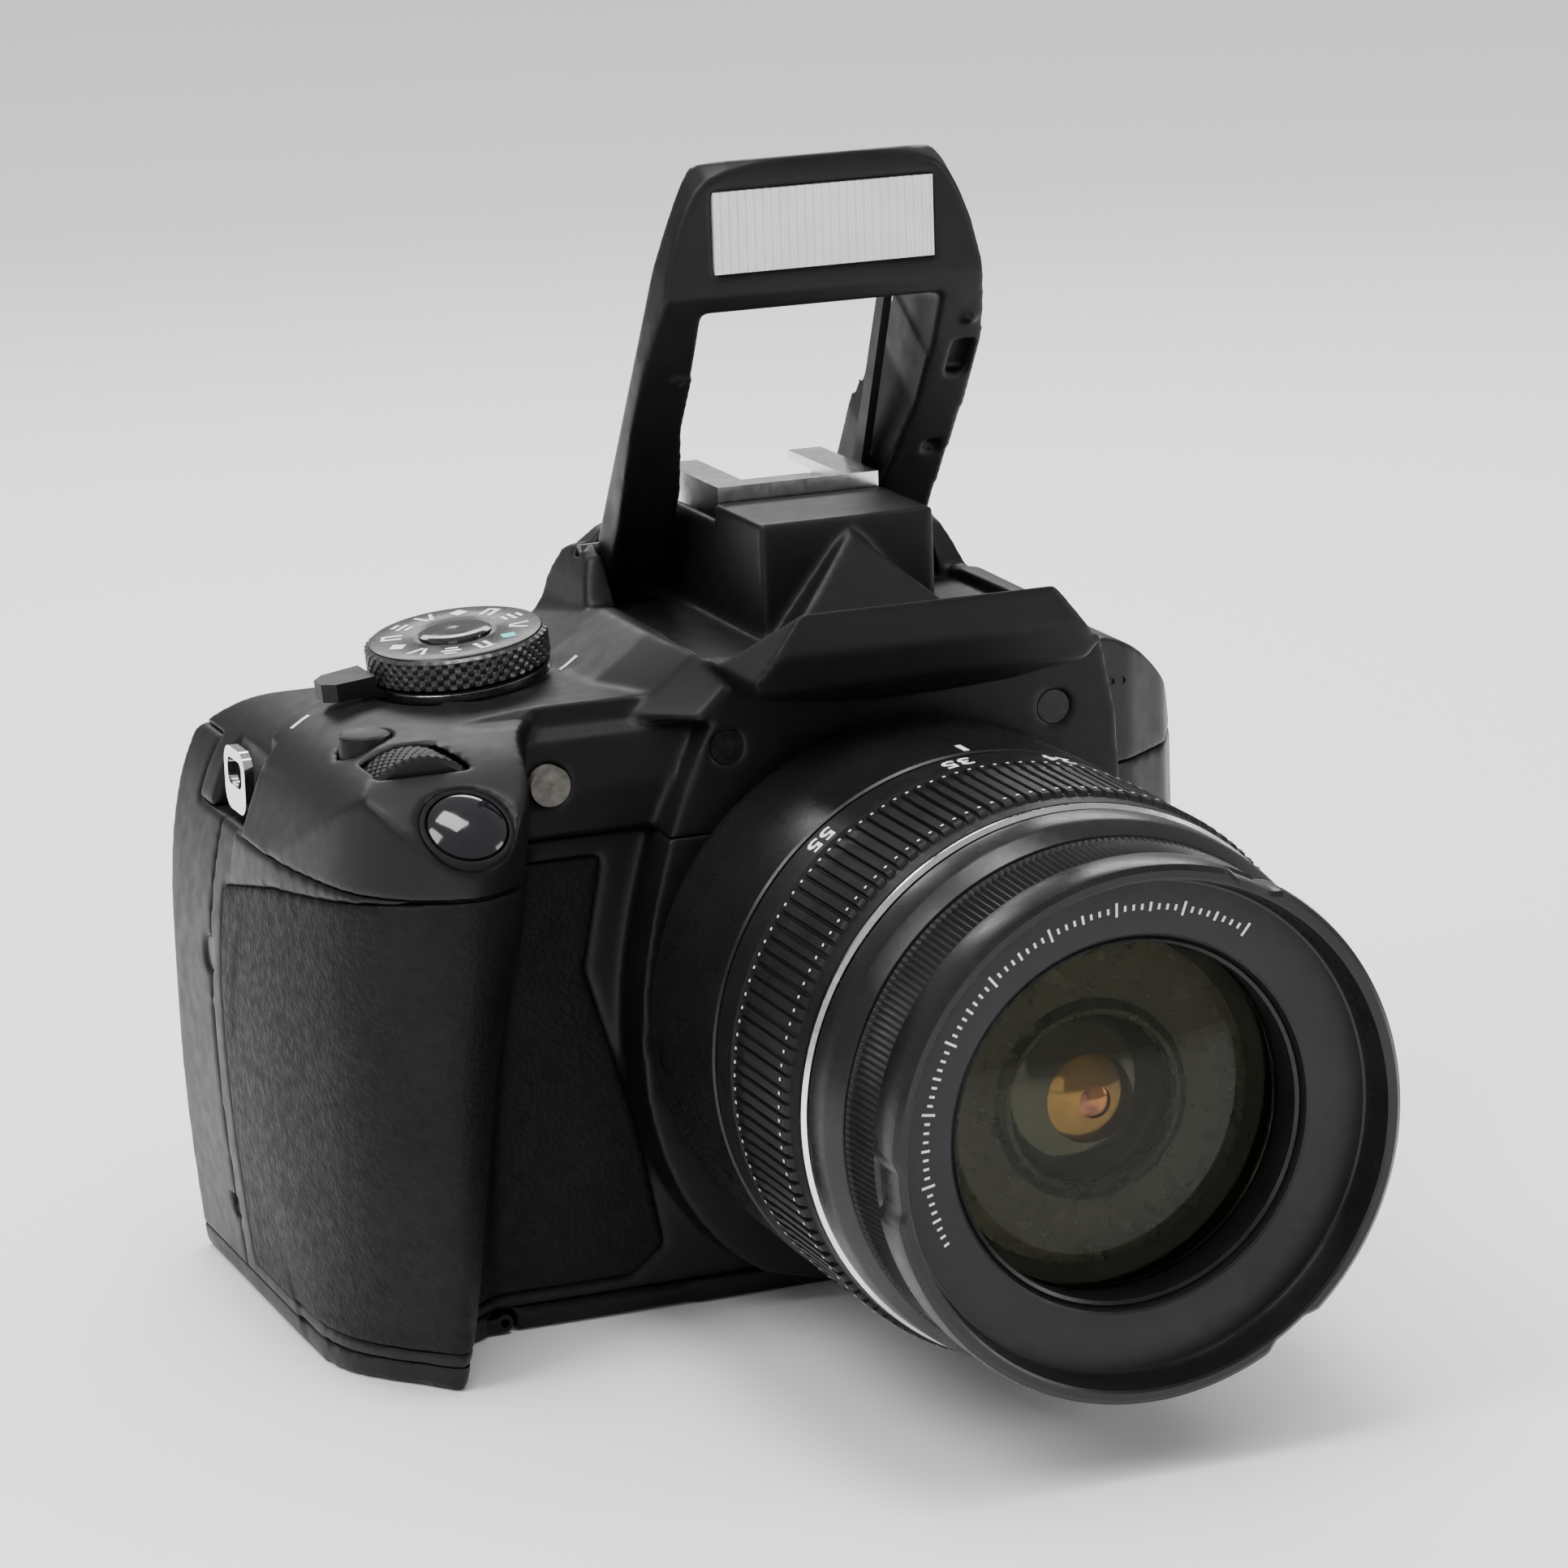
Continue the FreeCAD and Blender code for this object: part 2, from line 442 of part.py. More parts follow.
def body_fittings():
    """Fixed pieces on the outside of the body."""
    screws = FRONT_SCREWS + SIDE_SCREWS + BASE_SCREWS
    save("body_screws", *[screw(place, axis, SCREW_R, 0) for place, axis in screws])
    save("lens_mount_ring", tube(31.0, THROAT_R, (0, FLANGE_Y, AXIS_Z), (0, 1, 0), 3.5))
    bush = cylinder(6.0, (0, 0, 0), (0, 0, 1), 12).cut(cylinder(THREAD_R, (0, 0, -1), (0, 0, 1), 12))
    save("tripod_socket", bush)
    x0, x1, z0, z1 = LCD
    pane = rounded_box(x0 + 0.1, x1 - 0.1, BACK_Y - 1.2, BACK_Y + 0.3, z0 + 0.1, z1 - 0.1, 2, Y_AXIS)
    save("screen_window", pane)
    save("screen_panel", box(x0 + 3.2, x1 - 3.2, BACK_Y - 4.2, BACK_Y - 1.4, z0 + 3.2, z1 - 3.2))
    save("red_eye_lamp", cylinder(LAMP_R, (LAMP.x, LAMP.y - 0.6, LAMP.z), (0, 1, 0), 3))
    lugs = []
    for sign, (floor, y0, y1, face) in LUGS.items():
        middle = (y0 + y1) / 2
        x0, x1 = sorted((face, face - sign * 1.2))
        plate = rounded_box(x0, x1, middle - 4.5, middle + 4.5, 62.6, 70.6, 2.5, X_AXIS)
        plate = plate.cut(rounded_box(x0 - 1, x1 + 1, middle - 3, middle + 3, 65.8, 69.2, 1.2, X_AXIS))
        stub = cylinder(1.5, (floor, middle, 64.2), (sign, 0, 0), abs(face - floor) - 0.6)
        lugs.append(plate.fuse(stub).removeSplitter())
    save("strap_lugs", *lugs)
    shoe = box(-10.8, 10.8, SHOE_FRONT_Y + 0.2, 24, SHOE_Z, SHOE_Z + 4.1)
    shoe = shoe.cut(box(-9.35, 9.35, SHOE_FRONT_Y + 1.2, 40, SHOE_Z + 0.8, SHOE_Z + 2.9))
    shoe = shoe.cut(box(-6.25, 6.25, SHOE_FRONT_Y + 1.2, 40, SHOE_Z + 0.8, SHOE_Z + 5))
    save("hot_shoe", shoe)
    w, h = EYE_HALF_W, EYE_HALF_H
    save("eyepiece_lens", box(-w + 0.1, w - 0.1, 27, 30, EYE_Z - h + 0.1, EYE_Z + h - 0.1))
    cup = rounded_box(-16, 16, 31.5, 36, EYE_Z - 9.2, EYE_Z + 10, 5, Y_AXIS)
    cup = cup.cut(rounded_box(-w, w, 31, 37, EYE_Z - h, EYE_Z + h, 3, Y_AXIS))
    save("eyecup", round_edges(cup, 1.2, lambda e: e.CenterOfMass.y > 35.9))
    pins = [cylinder(PIN_R, V(side * 15.2, 0, 0) + FLASH_PIVOT, (side, 0, 0), 8.5) for side in (-1, 1)]
    save("flash_hinge_pins", *pins)


def internals():
    """What the body holds so that it works."""
    frame = box(-21, 21, -22, 12.5, 19, 60).cut(box(-19, 19, -30, 20, 21, 61))
    frame = frame.cut(cylinder(1.0 + FIT, (-30, MIRROR_HINGE.y, MIRROR_HINGE.z), (1, 0, 0), 60))
    save("mirror_box", frame)
    shutter = box(-18, 18, 12.8, 15.8, 21, 59).cut(box(-11.6, 11.6, 12, 17, 32, 48))
    save("focal_plane_shutter", shutter.fuse(box(-12, 12, 14, 14.6, 31.8, 48.2)).removeSplitter())
    sensor_y = FLANGE_Y + REGISTER
    save("image_sensor", box(-14, 14, sensor_y, sensor_y + 2, AXIS_Z - 10, AXIS_Z + 10))
    save("main_board", box(-47, 47, 20.6, 22.0, 8, 57.5))
    prism = prism_x([(-9.5, 70), (-9.5, 79), (-2, 90.5), (8, 90.5), (25, 84), (25, 75), (15, 70)], -9, 9)
    save("pentamirror", prism)
    save("focusing_screen", box(-14, 14, -10, 8, 61, 63))
    save("battery_pack", rounded_box(-67.4, -53.6, -14.2, 20.4, 3.4, 52, 1.5, Z_AXIS))
    save("memory_card", box(-52.4, -50.3, -12, 12, 3.6, 35.6))
    save("flash_capacitor", cylinder(6.5, (-38, -4, 8), (0, 0, 1), 36))


def flash_closed():
    """The flash head in its closed place: cover, window, reflector, lamp tube and lifting link."""
    circle = [(FLASH_PIVOT.y + 4.8 * math.cos(math.radians(a)), FLASH_PIVOT.z + 4.8 * math.sin(math.radians(a)))
              for a in range(-90, 91, 15)]
    side = circle + [(18, 97.4), (12, 99.6), (0, 101.6), (-12, 101.8), (-24, 100.2), (-32, 97.6), (-36.6, 94.6),
                     (-38.2, 92.7), (-37.2, 91.75), (-24.5, 83.75), (-14, 82.8)]
    cover = prism_x(side, -30, 30)
    half_plan = [(FLASH_HALF, 40), (FLASH_HALF, 12), (22.5, -4), (22.6, -14), (21.9, -20), (20.8, -26),
                 (19.6, -30), (18.2, -33), (16.9, -35), (15.2, -36.4), (12.5, -37.3), (8, -37.9), (3, -38.2)]
    cover = cover.common(prism_z(half_plan + [(-x, y) for x, y in reversed(half_plan)], 70, 110))
    half_roof = [(23, 70), (23, 84.4), (20.9, 89.2), (17.2, 94), (13.6, 97.4), (8.8, 100.3), (3.5, 102)]
    cover = cover.common(prism_y(half_roof + [(-x, z) for x, z in reversed(half_roof)], -50, 50))
    gap = [(-15.6, -12.7), (15.6, -12.7), (15.6, -4), (13.7, 8), (13.7, 60), (-13.7, 60), (-13.7, 8), (-15.6, -4)]
    cover = cover.cut(prism_z(gap, 70, 120))
    under = prism_x([(-22.6, 78), (-22.6, 82.6), (-12.7, 96.6), (-12.0, 96.6), (-12.0, 78)], -15.8, 15.8)
    cover = cover.cut(under)
    cover = cover.cut(box(18.8, 21.4, -14.2, -8.4, 82, 84.4)).cut(box(18.4, 20.4, 2.8, 4.9, 82, 84))
    for x, y in ((20.4, -17.6), (-17.6, -12.0)):
        cover = cover.fuse(cylinder(0.7, (x, y, 82.4), (0, 0, 1), 1.6))
    slope = V(0, -0.845, 0.535)
    normal = V(0, 0.535, 0.845)
    middle = V(0, -30.9, 87.9)

    def sunk(half_w, low, high, depth0, depth1):
        """A block under the window plane, between two depths along the normal."""
        corners = [middle + slope * low + normal * depth0, middle + slope * high + normal * depth0,
                   middle + slope * high + normal * depth1, middle + slope * low + normal * depth1]
        return prism_x([(c.y, c.z) for c in corners], -half_w, half_w)

    cover = cover.cut(sunk(14.5, -5.1, 5.1, -2, 1.6)).cut(sunk(13.7, -4.4, 4.4, 0, 5.8))
    window = sunk(14.4, -5.0, 5.0, -0.2, 1.5)
    reflector = sunk(13.6, -4.3, 4.3, 1.7, 5.7).cut(sunk(13.0, -3.8, 3.8, 1.5, 5.1))
    lamp = cylinder(1.0, middle + normal * 3.6 - X_AXIS * 12.9, (1, 0, 0), 25.8)
    link = prism_x([(-16.5, 91.2), (-15.1, 93.2), (12, 88.8), (12, 86.6), (9, 86.6)], 12.1, 13.2)
    stud = cylinder(1.2, V(12.1, 10.5, 87.9), (1, 0, 0), 1.6)
    cover = cover.cut(cylinder(PIN_R + FIT, FLASH_PIVOT - X_AXIS * 30, (1, 0, 0), 60))
    return {"flash_housing": cover, "flash_window": window, "flash_reflector": reflector, "flash_tube": lamp,
            "flash_link": link.fuse(stud).removeSplitter()}


def flash():
    """Turns the closed flash head up about its hinge."""
    for node, shape in flash_closed().items():
        shape.rotate(FLASH_PIVOT, X_AXIS, -FLASH_OPEN_DEG)
        save(node, shape)


def top_controls():
    """The mode dial on the power lever's ring, the main dial, the shutter button and the flash button."""
    dial = cylinder(DIAL_R, (0, 0, 1.45), (0, 0, 1), 4.45)
    for i in range(36):
        angle = math.radians(i * 10)
        notch = V(DIAL_R * math.cos(angle), DIAL_R * math.sin(angle), 1)
        dial = dial.cut(cylinder(0.35, notch, (0, 0, 1), 5))
    dial = dial.fuse(cylinder(3.0, (0, 0, -4), (0, 0, 1), 6)).removeSplitter()
    save("mode_dial", on_dial(dial))
    save("mode_dial_cap", on_dial(cylinder(4.6, (0, 0, 5.9), (0, 0, 1), 0.5)))
    tip = math.radians(184)
    reach = V(math.cos(tip), math.sin(tip), 0)
    across = V(-reach.y, reach.x, 0)

    def tab(start, end, foot, height):
        """A block of the thumb tab between two radii."""
        rise = Z_AXIS * foot
        corners = [reach * start + across * 3.0 + rise, reach * (end - 1.5) + across * 2.6 + rise,
                   reach * end + across * 1.2 + rise, reach * end - across * 1.2 + rise,
                   reach * (end - 1.5) - across * 2.6 + rise, reach * start - across * 3.0 + rise]
        return face_of(polygon_edges(corners + corners[:1])).extrude(V(0, 0, height))

    lever = cylinder(DIAL_R - 0.2, (0, 0, 0), (0, 0, 1), 1.3)
    lever = union([lever, tab(8, DIAL_R + 1.3, 0.4, 0.9), tab(DIAL_R + 0.7, 18.6, 1.2, 2.3)])
    save("power_lever", on_dial(lever.cut(cylinder(3.3, (0, 0, -1), (0, 0, 1), 5))))
    wheel = cylinder(WHEEL_R, WHEEL - Y_AXIS * WHEEL_W / 2, (0, 1, 0), WHEEL_W)
    for i in range(30):
        angle = math.radians(i * 12)
        groove = WHEEL + V(WHEEL_R * math.cos(angle), -4, WHEEL_R * math.sin(angle))
        wheel = wheel.cut(cylinder(0.45, groove, (0, 1, 0), 8))
    save("main_dial", wheel)
    button = cylinder(RELEASE_R, RELEASE - RELEASE_AXIS * 3.4, RELEASE_AXIS, 4.6)
    save("shutter_button", round_edges(button, 1.0, lambda e: (e.CenterOfMass - RELEASE).dot(RELEASE_AXIS) > 1.1))
    save("flash_button", cylinder(3.2, FLASH_BUTTON - Z_AXIS * 3.2, (0, 0, 1), 4.2))


def body_controls():
    unlock = cylinder(UNLOCK_R, UNLOCK, (0, 1, 0), 12)
    save("lens_release_button", round_edges(unlock, 1.0, lambda e: e.CenterOfMass.y < UNLOCK.y + 0.1))
    save("dioptre_knob", cylinder(2.4, DIOPTRE - Y_AXIS * 1.8, (0, 1, 0), 3.2))
    for node, (x, z, radius) in REAR_BUTTONS.items():
        top = rear_face(x) + BUTTON_PROUD
        button = cylinder(radius, (x, top - 5.0, z), (0, 1, 0), 5.0)
        save(node, round_edges(button, 0.4, lambda e: e.CenterOfMass.y > top - 0.05))
    x, z, _ = REAR_BUTTONS["set_button"]
    keys = tube(KEYS_OUTER_R, KEYS_INNER_R, (x, BACK_Y - 4.2, z), (0, 1, 0), 4.2 + BUTTON_PROUD - 0.2)
    save("cross_keys", keys)
    slope = V(0, -1, -1) / math.sqrt(2)
    lift = V(0, -1, 1) / math.sqrt(2) * 0.8
    corners = [MIRROR_HINGE + lift, MIRROR_HINGE + slope * MIRROR_LENGTH + lift,
               MIRROR_HINGE + slope * MIRROR_LENGTH - lift, MIRROR_HINGE - lift]
    plate = prism_x([(c.y, c.z) for c in corners], -17, 17)
    save("reflex_mirror", plate.fuse(cylinder(1.0, (-20.5, MIRROR_HINGE.y, MIRROR_HINGE.z), (1, 0, 0), 41)))


def doors(outer):
    x0, x1, y0, y1 = DOOR
    door = box(x0, DOOR_HINGE.x, y0, y1, 0.2, 2.0)
    door = door.fuse(cylinder(1.1, (DOOR_HINGE.x, y0, DOOR_HINGE.z), (0, 1, 0), y1 - y0))
    door = door.cut(box(-68.2, -60.3, -1.2, 7.2, 0, 1.4)).common(outer.fuse(box(-60, -40, -60, 60, 0, 3)))
    bore = cylinder(0.5 + FIT, (DOOR_HINGE.x, -60, DOOR_HINGE.z), (0, 1, 0), 120)
    save("battery_door", door.cut(bore).removeSplitter())
    save("battery_latch", box(-68.0, -62.2, -1.0, 7.0, 0.3, 1.3))
    y0, y1, z0, z1 = FLAP
    flap = outer.common(box(FLAP_INNER_X, 60, y0, y1, z0, z1))
    save("terminal_cover", flap)


def lens():
    fixed = lens_turned([(0, 33.0), (1.5, 33.6), (4, 34.2), (24, 34.25), (24, 31.0), (46, 31.0), (46, 29.6),
                         (4.5, 29.6), (4.5, 13), (-3.2, 13), (-3.2, 26.95), (0, 26.95)])
    fixed = fixed.fuse(lens_sector(33.6, 35.2, 5, 21, -28, 52))
    for z in SWITCH_HEIGHTS.values():
        fixed = fixed.cut(box(33.6, 37, FLANGE_Y - 16.2, FLANGE_Y - 9.8, z - 4.2, z + 2.2))
    save("fixed_barrel", fixed.removeSplitter())
    for node, z in SWITCH_HEIGHTS.items():
        save(node, box(33.9, 36.3, FLANGE_Y - 16.0, FLANGE_Y - 10.0, z - 2.0, z + 2.0))
    save("zoom_ring", lens_turned([(24.3, 31.06), (24.3, 33.7), (25, 34.25), (45, 34.25), (48.8, 33.4),
                                   (48.8, 31.06)]))
    save("trim_ring", lens_turned([(48.8, 31.06), (48.8, 33.4), (50.0, 33.2), (50.0, 31.06)]))
    save("inner_barrel", lens_turned([(8, 29.2), (50.4, 29.2), (50.4, 32.9), (54.5, 32.6), (57, 31.6), (57, 29.0),
                                      (64, 29.0), (64, 27.4), (8, 27.4)]))
    save("focus_ring", lens_turned([(57.3, 29.06), (57.3, 31.7), (65.4, 31.0), (65.4, 29.06)]))
    save("front_ring", lens_turned([(65.4, 31.0), (66.2, 31.3), (70.8, 31.4), (71.8, 31.0), (71.8, FILTER_R),
                                    (67.4, FILTER_R), (66.4, 21.7), (57, 21.7), (57, 24), (64.6, 24),
                                    (64.6, 28.9), (65.4, 28.9)]))
    dome_r = 60.0
    glass_r = 21.6
    crown = 65.0
    dome = []
    for i in range(9):
        r = glass_r * (1 - i / 8)
        dome.append((crown - dome_r + math.sqrt(dome_r ** 2 - r ** 2), r))
    save("front_element", lens_turned([(58, 0), (58, glass_r)] + dome[:-1] + [(crown, 0)]))
    save("rear_element", lens_turned([(-2.4, 0), (-2.4, 12.9), (3.6, 12.9), (4.4, 0)]))


def build():
    os.makedirs(PARTS, exist_ok=True)
    outer = covers()
    body_fittings()
    internals()
    flash()
    top_controls()
    body_controls()
    doors(outer)
    lens()


build()
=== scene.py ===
"""The looks of the camera: moulded covers, turned lens rings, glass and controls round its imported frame.

Lengths are in millimetres in the tables below and in metres on the objects. +Z is up, and the lens looks
along -Y.
"""
import bpy
import bmesh
import json
import math
from mathutils import Matrix, Vector


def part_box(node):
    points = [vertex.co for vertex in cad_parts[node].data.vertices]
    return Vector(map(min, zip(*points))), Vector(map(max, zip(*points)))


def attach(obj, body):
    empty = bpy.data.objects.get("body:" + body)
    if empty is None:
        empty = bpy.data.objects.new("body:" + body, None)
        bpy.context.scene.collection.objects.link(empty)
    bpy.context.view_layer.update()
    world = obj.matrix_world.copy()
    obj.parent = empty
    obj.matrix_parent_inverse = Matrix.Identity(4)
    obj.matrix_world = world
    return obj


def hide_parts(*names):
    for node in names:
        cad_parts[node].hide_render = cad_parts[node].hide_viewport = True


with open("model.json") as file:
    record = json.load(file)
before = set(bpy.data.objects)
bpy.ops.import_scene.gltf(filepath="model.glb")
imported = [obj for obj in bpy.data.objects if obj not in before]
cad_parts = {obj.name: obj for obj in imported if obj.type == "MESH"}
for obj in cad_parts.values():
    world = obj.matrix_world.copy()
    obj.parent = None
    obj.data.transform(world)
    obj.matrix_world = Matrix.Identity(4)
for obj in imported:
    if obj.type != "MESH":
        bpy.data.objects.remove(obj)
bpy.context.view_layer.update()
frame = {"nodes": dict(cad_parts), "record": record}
MM = 0.001
TAU = 2 * math.pi
MOST_TRIANGLES = 180000     # of one moulded cover
PRINT_LIFT = 0.05           # of a print above the surface under it
BARREL_RADIUS = 34.26       # outside of the lens where its marks are printed
RIB_HIGHLIGHT_SIDE = 0.34              # side of a white dot on a rib, a painted highlight that stands in for the glint on a rib end
SCALE_RADIUS = 25.4         # of the printed scale on the name ring
SCALE_TICKS = 64
DIAL_RADIUS, DIAL_LOW, DIAL_HIGH = 11.4, 1.45, 5.6      # the mode dial, heights along its own axis
DIAL_SIGNS, TEAL_SIGN = 12, 10
SIGN_SCALE, SIGN_CIRCLE = 1.3, 7.9
CHAMFER, CHAMFER_INSET = 0.25, 0.8                      # rise and width of a knurled wheel's bevelled end
SHUTTER_PLACE = Vector((-58.5, -36.0, 69.2))
SHUTTER_AXIS = Vector((0, -0.6392, 0.769))
MICROPHONE_HOLES = ((31.2, 72.4), (33.0, 72.2), (34.8, 72.0))

# ---------------------------------------------------------------- places worked out from the frame
mount_low, mount_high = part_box("lens_mount_ring")
AXIS_Z = (mount_low.z + mount_high.z) / 2 / MM        # height of the optical axis
FLANGE_Y = mount_low.y / MM                           # front of the lens mount


def middle(node):
    """The middle of a node's box, in millimetres."""
    low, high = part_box(node)
    return (low + high) / 2 / MM


# ---------------------------------------------------------------- camera and light
VIEW_AZIMUTH, VIEW_ELEVATION, VIEW_ROLL = 20.9, -13.8, -2.07
VIEW_PLACE = Vector((-253.8, -651.4, 231.4)) * MM
VIEW_LENS = 131.0
FLOOR_REACH = 4.0           # metres from the middle of the floor to its edge
FLOOR_DROP = 0.0002         # metres of clearance under the camera


def make_camera():
    """The view that the looks are made for."""
    data = bpy.data.cameras.new("photo_camera")
    data.lens = VIEW_LENS
    data.sensor_width = 36
    data.clip_start = 0.01
    camera = bpy.data.objects.new("photo_camera", data)
    bpy.context.scene.collection.objects.link(camera)
    turn = Matrix.Rotation(math.radians(-VIEW_AZIMUTH), 4, "Z")
    tilt = Matrix.Rotation(math.radians(90 + VIEW_ELEVATION), 4, "X")
    roll = Matrix.Rotation(math.radians(VIEW_ROLL), 4, "Z")
    camera.matrix_world = Matrix.Translation(VIEW_PLACE) @ turn @ tilt @ roll
    bpy.context.scene.camera = camera


def area_light(name, place, target, size, power, mirrored=True):
    """A rectangular lamp at a place, turned to face a target, in metres and watts."""
    data = bpy.data.lights.new(name, "AREA")
    data.shape = "RECTANGLE"
    data.size, data.size_y = size
    data.energy = power
    light = bpy.data.objects.new(name, data)
    light.location = place
    light.visible_glossy = mirrored
    light.rotation_euler = (Vector(target) - Vector(place)).to_track_quat("-Z", "Y").to_euler()
    bpy.context.scene.collection.objects.link(light)


def make_studio():
    """A pale room: even sky, six lamps and a sheet of white paper."""
    world = bpy.data.worlds.new("studio")
    world.use_nodes = True
    world.node_tree.nodes["Background"].inputs[0].default_value = (1, 1, 1, 1)
    world.node_tree.nodes["Background"].inputs[1].default_value = 0.42
    bpy.context.scene.world = world
    centre = (0, -0.02, 0.07)
    area_light("sky_fill", (0, 0, 3.0), centre, (5.0, 5.0), 120, mirrored=False)
    area_light("overhead", (-0.05, -0.05, 1.0), centre, (0.5, 0.3), 6)
    area_light("key", (-0.5, -0.2, 0.65), centre, (0.3, 0.45), 4)
    area_light("back_strip", (0.15, 0.6, 0.5), centre, (0.7, 0.2), 3)
    area_light("lens_side", (0.75, -0.45, 0.35), centre, (0.25, 0.5), 2.2)
    area_light("front_fill", (-0.5, -0.9, 0.2), centre, (0.5, 0.3), 0.8)
    mesh = bpy.data.meshes.new("floor")
    far = FLOOR_REACH
    mesh.from_pydata([(-far, -far, 0), (far, -far, 0), (far, far, 0), (-far, far, 0)], [], [(0, 1, 2, 3)])
    floor = bpy.data.objects.new("floor", mesh)
    floor.location.z = -FLOOR_DROP
    bpy.context.scene.collection.objects.link(floor)
    paper = bpy.data.materials.new("paper")
    paper.use_nodes = True
    paper.node_tree.nodes["Principled BSDF"].inputs["Base Color"].default_value = (0.93, 0.93, 0.93, 1)
    paper.node_tree.nodes["Principled BSDF"].inputs["Roughness"].default_value = 0.8
    mesh.materials.append(paper)


# ---------------------------------------------------------------- materials
class Finish:
    """One procedural material: drifting colour, varied roughness, and a bump at the size of its grain."""

    def __init__(self, name, **sockets):
        self.material = bpy.data.materials.new(name)
        self.material.use_nodes = True
        self.tree = self.material.node_tree
        self.shader = self.tree.nodes["Principled BSDF"]
        self.place = self.node("ShaderNodeTexCoord").outputs["Object"]
        self.height = None
        for socket, value in sockets.items():
            self.shader.inputs[socket.replace("_", " ")].default_value = value

    def node(self, kind, **settings):
        made = self.tree.nodes.new(kind)
        for key, value in settings.items():
            setattr(made, key, value)
        return made

    def link(self, a, b):
        self.tree.links.new(a, b)

    def noise(self, size_mm, detail, stretch=None):
        """Cloudy variation at a size, drawn out along an axis if a stretch is given."""
        made = self.node("ShaderNodeTexNoise")
        made.inputs["Scale"].default_value = 1 / (size_mm * MM)
        made.inputs["Detail"].default_value = detail
        place = self.place
        if stretch:
            mapping = self.node("ShaderNodeMapping")
            mapping.inputs["Scale"].default_value = stretch
            self.link(place, mapping.inputs["Vector"])
            place = mapping.outputs["Vector"]
        self.link(place, made.inputs["Vector"])
        return made.outputs["Fac"]

    def cells(self, size_mm):
        """Distance from the middles of small cells, for a pebbled skin."""
        made = self.node("ShaderNodeTexVoronoi", feature="F1")
        made.inputs["Scale"].default_value = 1 / (size_mm * MM)
        self.link(self.place, made.inputs["Vector"])
        return made.outputs["Distance"]

    def flutes(self, pitch_mm):
        """Upright ridges, repeated along X."""
        made = self.node("ShaderNodeTexWave", wave_type="BANDS", bands_direction="X")
        made.inputs["Scale"].default_value = 1 / (pitch_mm * MM) / 20 * TAU
        self.link(self.place, made.inputs["Vector"])
        return made.outputs["Fac"]

    def spread(self, factor, low, high):
        """The middle of a noise, where most of it lies, mapped to low and high."""
        made = self.node("ShaderNodeMapRange")
        made.inputs["From Min"].default_value = 0.3
        made.inputs["From Max"].default_value = 0.7
        made.inputs["To Min"].default_value = low
        made.inputs["To Max"].default_value = high
        self.link(factor, made.inputs["Value"])
        return made.outputs["Result"]

    def colour(self, dark, light, size_mm):
        """Base colour that drifts between two close tones."""
        ramp = self.node("ShaderNodeValToRGB")
        ramp.color_ramp.elements[0].position = 0.35
        ramp.color_ramp.elements[0].color = (*dark, 1)
        ramp.color_ramp.elements[1].position = 0.68
        ramp.color_ramp.elements[1].color = (*light, 1)
        self.link(self.noise(size_mm, 5.0), ramp.inputs["Fac"])
        self.link(ramp.outputs["Color"], self.shader.inputs["Base Color"])
        return self

    def rough(self, low, high, size_mm, stretch=None):
        """Roughness that varies between two values."""
        varied = self.spread(self.noise(size_mm, 4.0, stretch), low, high)
        self.link(varied, self.shader.inputs["Roughness"])
        return self

    def bump(self, factor, depth_mm, strength):
        """Relief at a depth, laid over any relief already there."""
        made = self.node("ShaderNodeBump")
        made.inputs["Distance"].default_value = depth_mm * MM
        made.inputs["Strength"].default_value = strength
        self.link(factor, made.inputs["Height"])
        if self.height:
            self.link(self.height, made.inputs["Normal"])
        self.height = made.outputs["Normal"]
        self.link(self.height, self.shader.inputs["Normal"])
        return self


